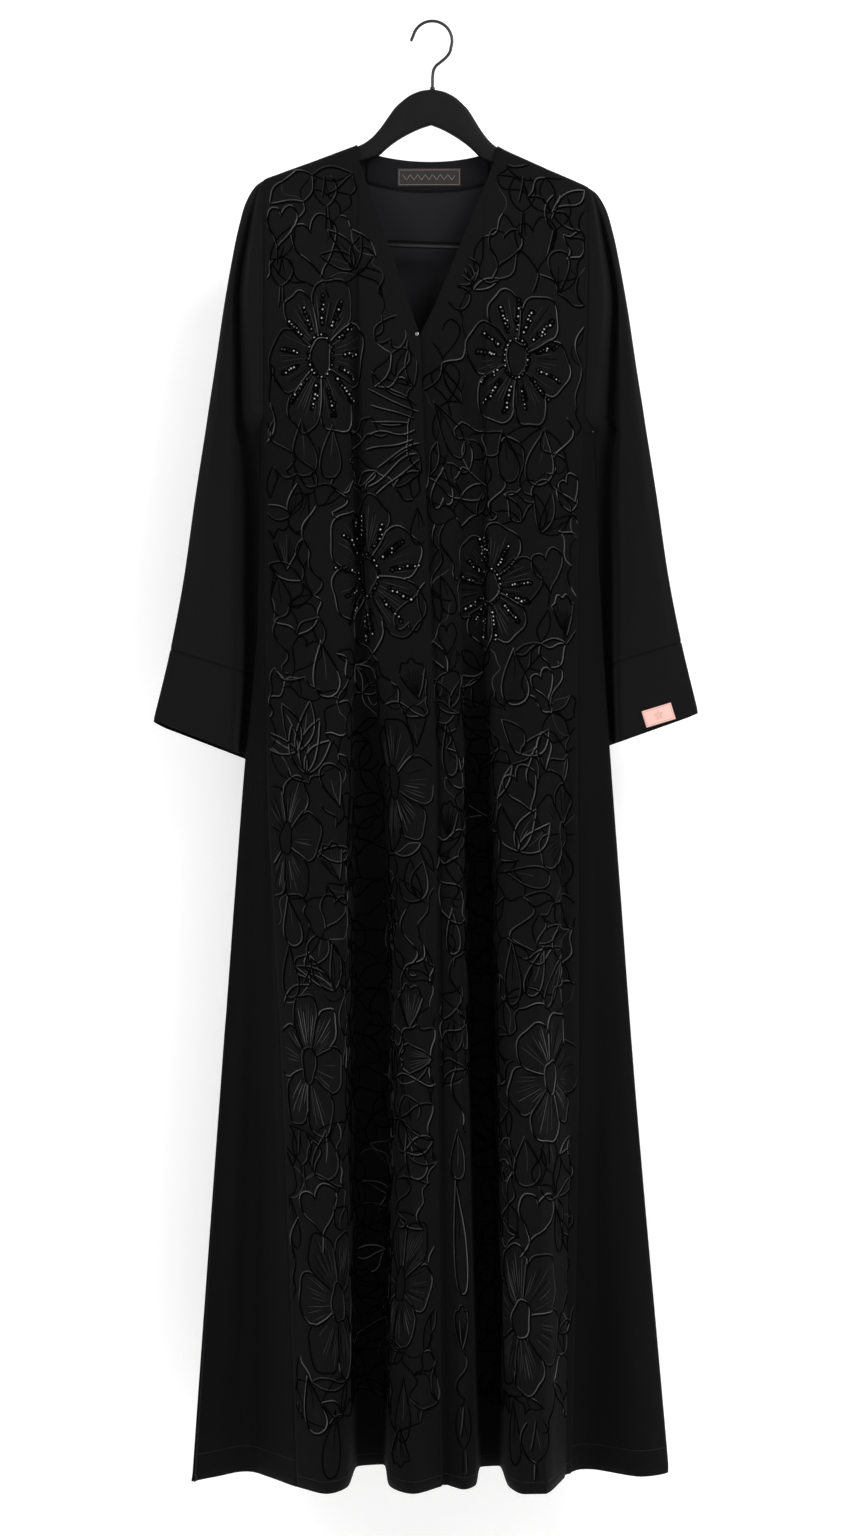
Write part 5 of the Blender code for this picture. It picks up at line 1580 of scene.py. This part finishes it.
steel.bump(wear, 0.00005, 0.3)
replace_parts(piece_of("snap", snap, steel.material, smooth_angle=35), "snap")


# ---------------------------------------------------------------- hanger
# A shaped black hanger: flat arms with rounded edges, painted with a soft matt lacquer, a wire hook that is pushed
# into a small collar at the top, and a slim round bar whose ends turn up into the arms. It hangs a little lower
# on the right.
ARM_HALF_THICK = 6.0
ARM_ROUNDING = 4.9
ARM_END = 168.0
ARM_UNDER = ((0, 106.8), (10, 110.3), (25.4, 118), (34, 123.4), (41.3, 128.8), (47.7, 134.4), (54, 140.4),
             (72.8, 148), (100, 159), (150, 178), (ARM_END - 4, 183))
WIRE_RADIUS = 1.7
HOOK_RADIUS = 20.9
HOOK_ACROSS = 0.8
HOOK_TIP = ((-21.7, 17.8), (-20.5, 14.2))
HOOK_TIP_ANGLE = math.radians(166)
HOOK_LEAVE_ANGLE = math.radians(-18)
HOOK_NECK = ((20.1, 27), (18.5, 30.8), (16, 34.1), (12.8, 37.2), (8.9, 40.4), (5.6, 43), (3.3, 45.9), (1.9, 49.2),
             (1.3, 53.5), (1.0, 58), (1.0, 65.8))
COLLAR_RADIUS = 2.9
COLLAR_DROPS = (66.1, 68.7)
BAR_RADIUS = 3.8
BAR_DROP = 232.0
BAR_HALF = 158.0
BAR_TURN = 12.0
BAR_SEAT = 1.9
WORN_END = 0.72
ROD_STEP = 1.6
EDGE_STEP = 3.0


def tilted(across, drop):
    across, drop = np.asarray(across, float), np.asarray(drop, float)
    return (HANGER_MIDDLE + across * math.cos(HANGER_TILT) - drop * math.sin(HANGER_TILT),
            drop * math.cos(HANGER_TILT) + across * math.sin(HANGER_TILT))


def eased(table):
    """A table's points with more between them on a smooth curve."""
    at = np.linspace(table[0][0], table[-1][0], int((table[-1][0] - table[0][0]) / EDGE_STEP) + 1)
    return np.stack([at, smooth([row[0] for row in table], [row[1] for row in table], at)], 1)


# Black lacquer over wood: an even satin, with a faint grain and paler rubbed places.
arm_look = Finish("black_lacquered_wood", Specular_IOR_Level=0.12)
grain = arm_look.noise(160.0, 3.0, (0.06, 1, 1))
rubs = arm_look.noise(45.0, 4.0)
fine = arm_look.noise(1200.0, 2.0)
arm_shade = rubs ** 3.0 * 0.8 + grain * 0.2
arm_look.set("Base Color", arm_look.mix(arm_shade, (0.0035, 0.0035, 0.0035), (0.0085, 0.0085, 0.0085)))
arm_look.set("Roughness", fine * 0.12 + 0.44)
arm_look.bump(grain * 0.6 + fine * 0.4, 0.00012, 0.35)

upper_edge = eased([row for row in ARM_TOP if row[0] < ARM_END] + [(ARM_END, float(straight(ARM_TOP, ARM_END)))])
lower_edge = eased(ARM_UNDER)
end_middle = np.array([[ARM_END, (upper_edge[-1, 1] + ARM_UNDER[-1][1]) / 2 + 2]])
half = np.vstack([upper_edge, end_middle, lower_edge[::-1]])
mirrored = half[::-1][half[::-1, 0] > 0] * (-1, 1)
outline = np.stack(tilted(*np.vstack([half, mirrored]).T), 1)
arms = bmesh.new()
back_forward = -ARM_HALF_THICK + 0.05
back_edge = place(outline[:, 0], np.full(len(outline), back_forward), outline[:, 1])
back_face = arms.faces.new([arms.verts.new(point) for point in back_edge])
bmesh.ops.translate(arms, vec=(0, 2 * back_forward * MM, 0), verts=grown_from(arms, [back_face]))
bmesh.ops.recalc_face_normals(arms, faces=arms.faces)
rims = [edge for edge in arms.edges if abs(edge.verts[0].co.y - edge.verts[1].co.y) < 0.1 * MM]
rounded(arms, rims, ARM_ROUNDING, 8)
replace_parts(piece_of("hanger_arms", arms, arm_look.material, smooth_angle=40), "hanger_arms")


def rod(name, points, radius, look, worn_ends):
    """A round rod through these places, given across and down in the hanger's plane; its worn ends are narrower."""
    points = np.asarray(points, float)
    along = along_line(points)
    even = np.linspace(0, along[-1], int(along[-1] / ROD_STEP))
    across, drop = smooth(along, points[:, 0], even), smooth(along, points[:, 1], even)
    knots = place(across, np.zeros(len(even)), drop)
    rounding = np.ones(len(even))
    rounding[list(worn_ends)] = WORN_END
    data = round_threads(name + "_rod", [(knots, rounding, 0)], (look,), radius, roundness=6)
    data.set_sharp_from_angle(angle=math.radians(50))
    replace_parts(mounted(name + "_rod", data), name)
    return data


wire_look = Finish("black_wire", Specular_IOR_Level=0.5)
scuffs = wire_look.noise(300.0, 4.0)
wire_look.set("Base Color", wire_look.mix(scuffs ** 2.0, (0.006, 0.006, 0.006), (0.02, 0.02, 0.02)))
wire_look.set("Roughness", scuffs * 0.15 + 0.25)
wire_look.set("Metallic", scuffs ** 4.0 * 0.5)
wire_look.bump(scuffs, 0.00005, 0.4)
hook_angles = np.linspace(HOOK_TIP_ANGLE, HOOK_LEAVE_ANGLE, 41)
round_part = np.stack([HOOK_ACROSS + HOOK_RADIUS * np.cos(hook_angles),
                       HOOK_RADIUS - WIRE_RADIUS - RAIL - HOOK_RADIUS * np.sin(hook_angles)], 1)
hook_line = np.vstack([HOOK_TIP, round_part, HOOK_NECK])
rod("hanger_hook", hook_line, WIRE_RADIUS, wire_look.material, (0,))

collar = bmesh.new()
bmesh.ops.create_cone(collar, cap_ends=True, segments=32, radius1=COLLAR_RADIUS * MM,
                      radius2=COLLAR_RADIUS * 0.8 * MM, depth=(COLLAR_DROPS[1] - COLLAR_DROPS[0]) * MM)
collar_middle = place(HOOK_NECK[-1][0], 0, sum(COLLAR_DROPS) / 2)
bmesh.ops.translate(collar, vec=collar_middle, verts=collar.verts)
rims = [edge for edge in collar.edges if abs(edge.verts[0].co.z - edge.verts[1].co.z) < 1e-6]
rounded(collar, rims, 0.4, 3)
collar_piece = piece_of("hanger_collar", collar, wire_look.material, smooth_angle=40)
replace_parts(collar_piece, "hanger_collar")

turns = np.linspace(0, math.pi / 2, 12)
bar_side = np.stack([BAR_HALF - BAR_TURN * (1 - np.cos(turns)), BAR_DROP - BAR_TURN * (1 - np.sin(turns))], 1)
bar_side = np.vstack([[BAR_HALF, float(straight(ARM_UNDER, BAR_HALF)) + BAR_SEAT], bar_side])
bar_line = np.vstack([bar_side, bar_side[::-1] * (-1, 1)])
# The bar is black lacquer with painted light along its upper and lower edges, standing in for the reflections a
# glossy rod shows there.
bar_look = Finish("black_lacquered_bar_painted_edges", Roughness=0.5, Specular_IOR_Level=0.05)
painted_edge_light = bar_look.node("ShaderNodeAttribute", {"attribute_name": "painted_edge_light"}, out="Fac")
painted_edge_light = painted_edge_light * (bar_look.noise(120.0, 3.0) * 0.8 + 0.6)
bar_look.set("Base Color", bar_look.mix(painted_edge_light, (0.0015, 0.0015, 0.0015), (0.035, 0.035, 0.037)))
bar_line = np.stack(tilted(*bar_line.T), 1)
bar_mesh = rod("hanger_bar", bar_line, BAR_RADIUS, bar_look.material, (0, -1))
spots = np.empty(len(bar_mesh.vertices) * 3)
bar_mesh.vertices.foreach_get("co", spots)
spots = spots.reshape(-1, 3)
bar_ends = [place(float(end_across), 0, float(end_drop)) for end_across, end_drop in
            (tilted(side * (BAR_HALF - BAR_TURN), BAR_DROP) for side in (-1, 1))]
# Painted light: lighter towards the upper and lower edges of the bar's round side.
level = np.interp(spots[:, 0], [end[0] for end in bar_ends], [end[2] for end in bar_ends])
height = np.abs(spots[:, 2] - level) / (BAR_RADIUS * MM)
edge_light_paint = bar_mesh.attributes.new("painted_edge_light", "FLOAT", "POINT")
edge_light_paint.data.foreach_set("value", np.clip((height - 0.6) / 0.25, 0, 1) * (height < 1.2))


# ---------------------------------------------------------------- hem stitching
# The hems of the gores are top-stitched about 28 mm up and those of the fronts close to the edge, in black thread.
FRONT_HEM_UP = 12.5
GORE_HEM_UP = 28
black_thread = thread_finish("black_thread", (0.008, 0.008, 0.008), (0.022, 0.022, 0.022))
hem_rows = []
for ground, start, end, up in (
    (left_ground, "left centre edge", "left panel seam", FRONT_HEM_UP),
    (right_ground, "right panel seam", "right edge under the lap", FRONT_HEM_UP),
    (Ground(left_gore), "left panel seam", "left side seam", GORE_HEM_UP),
    (Ground(right_gore), "right side seam", "right panel seam", GORE_HEM_UP),
):
    spots = [ground.spot(ring, HEM - up) for ring in np.linspace(RING[start], RING[end], 90)]
    hem_rows.append((np.stack([spot[0] for spot in spots]), np.stack([spot[1] for spot in spots])))
stitches("hem_stitches", hem_rows, black_thread)
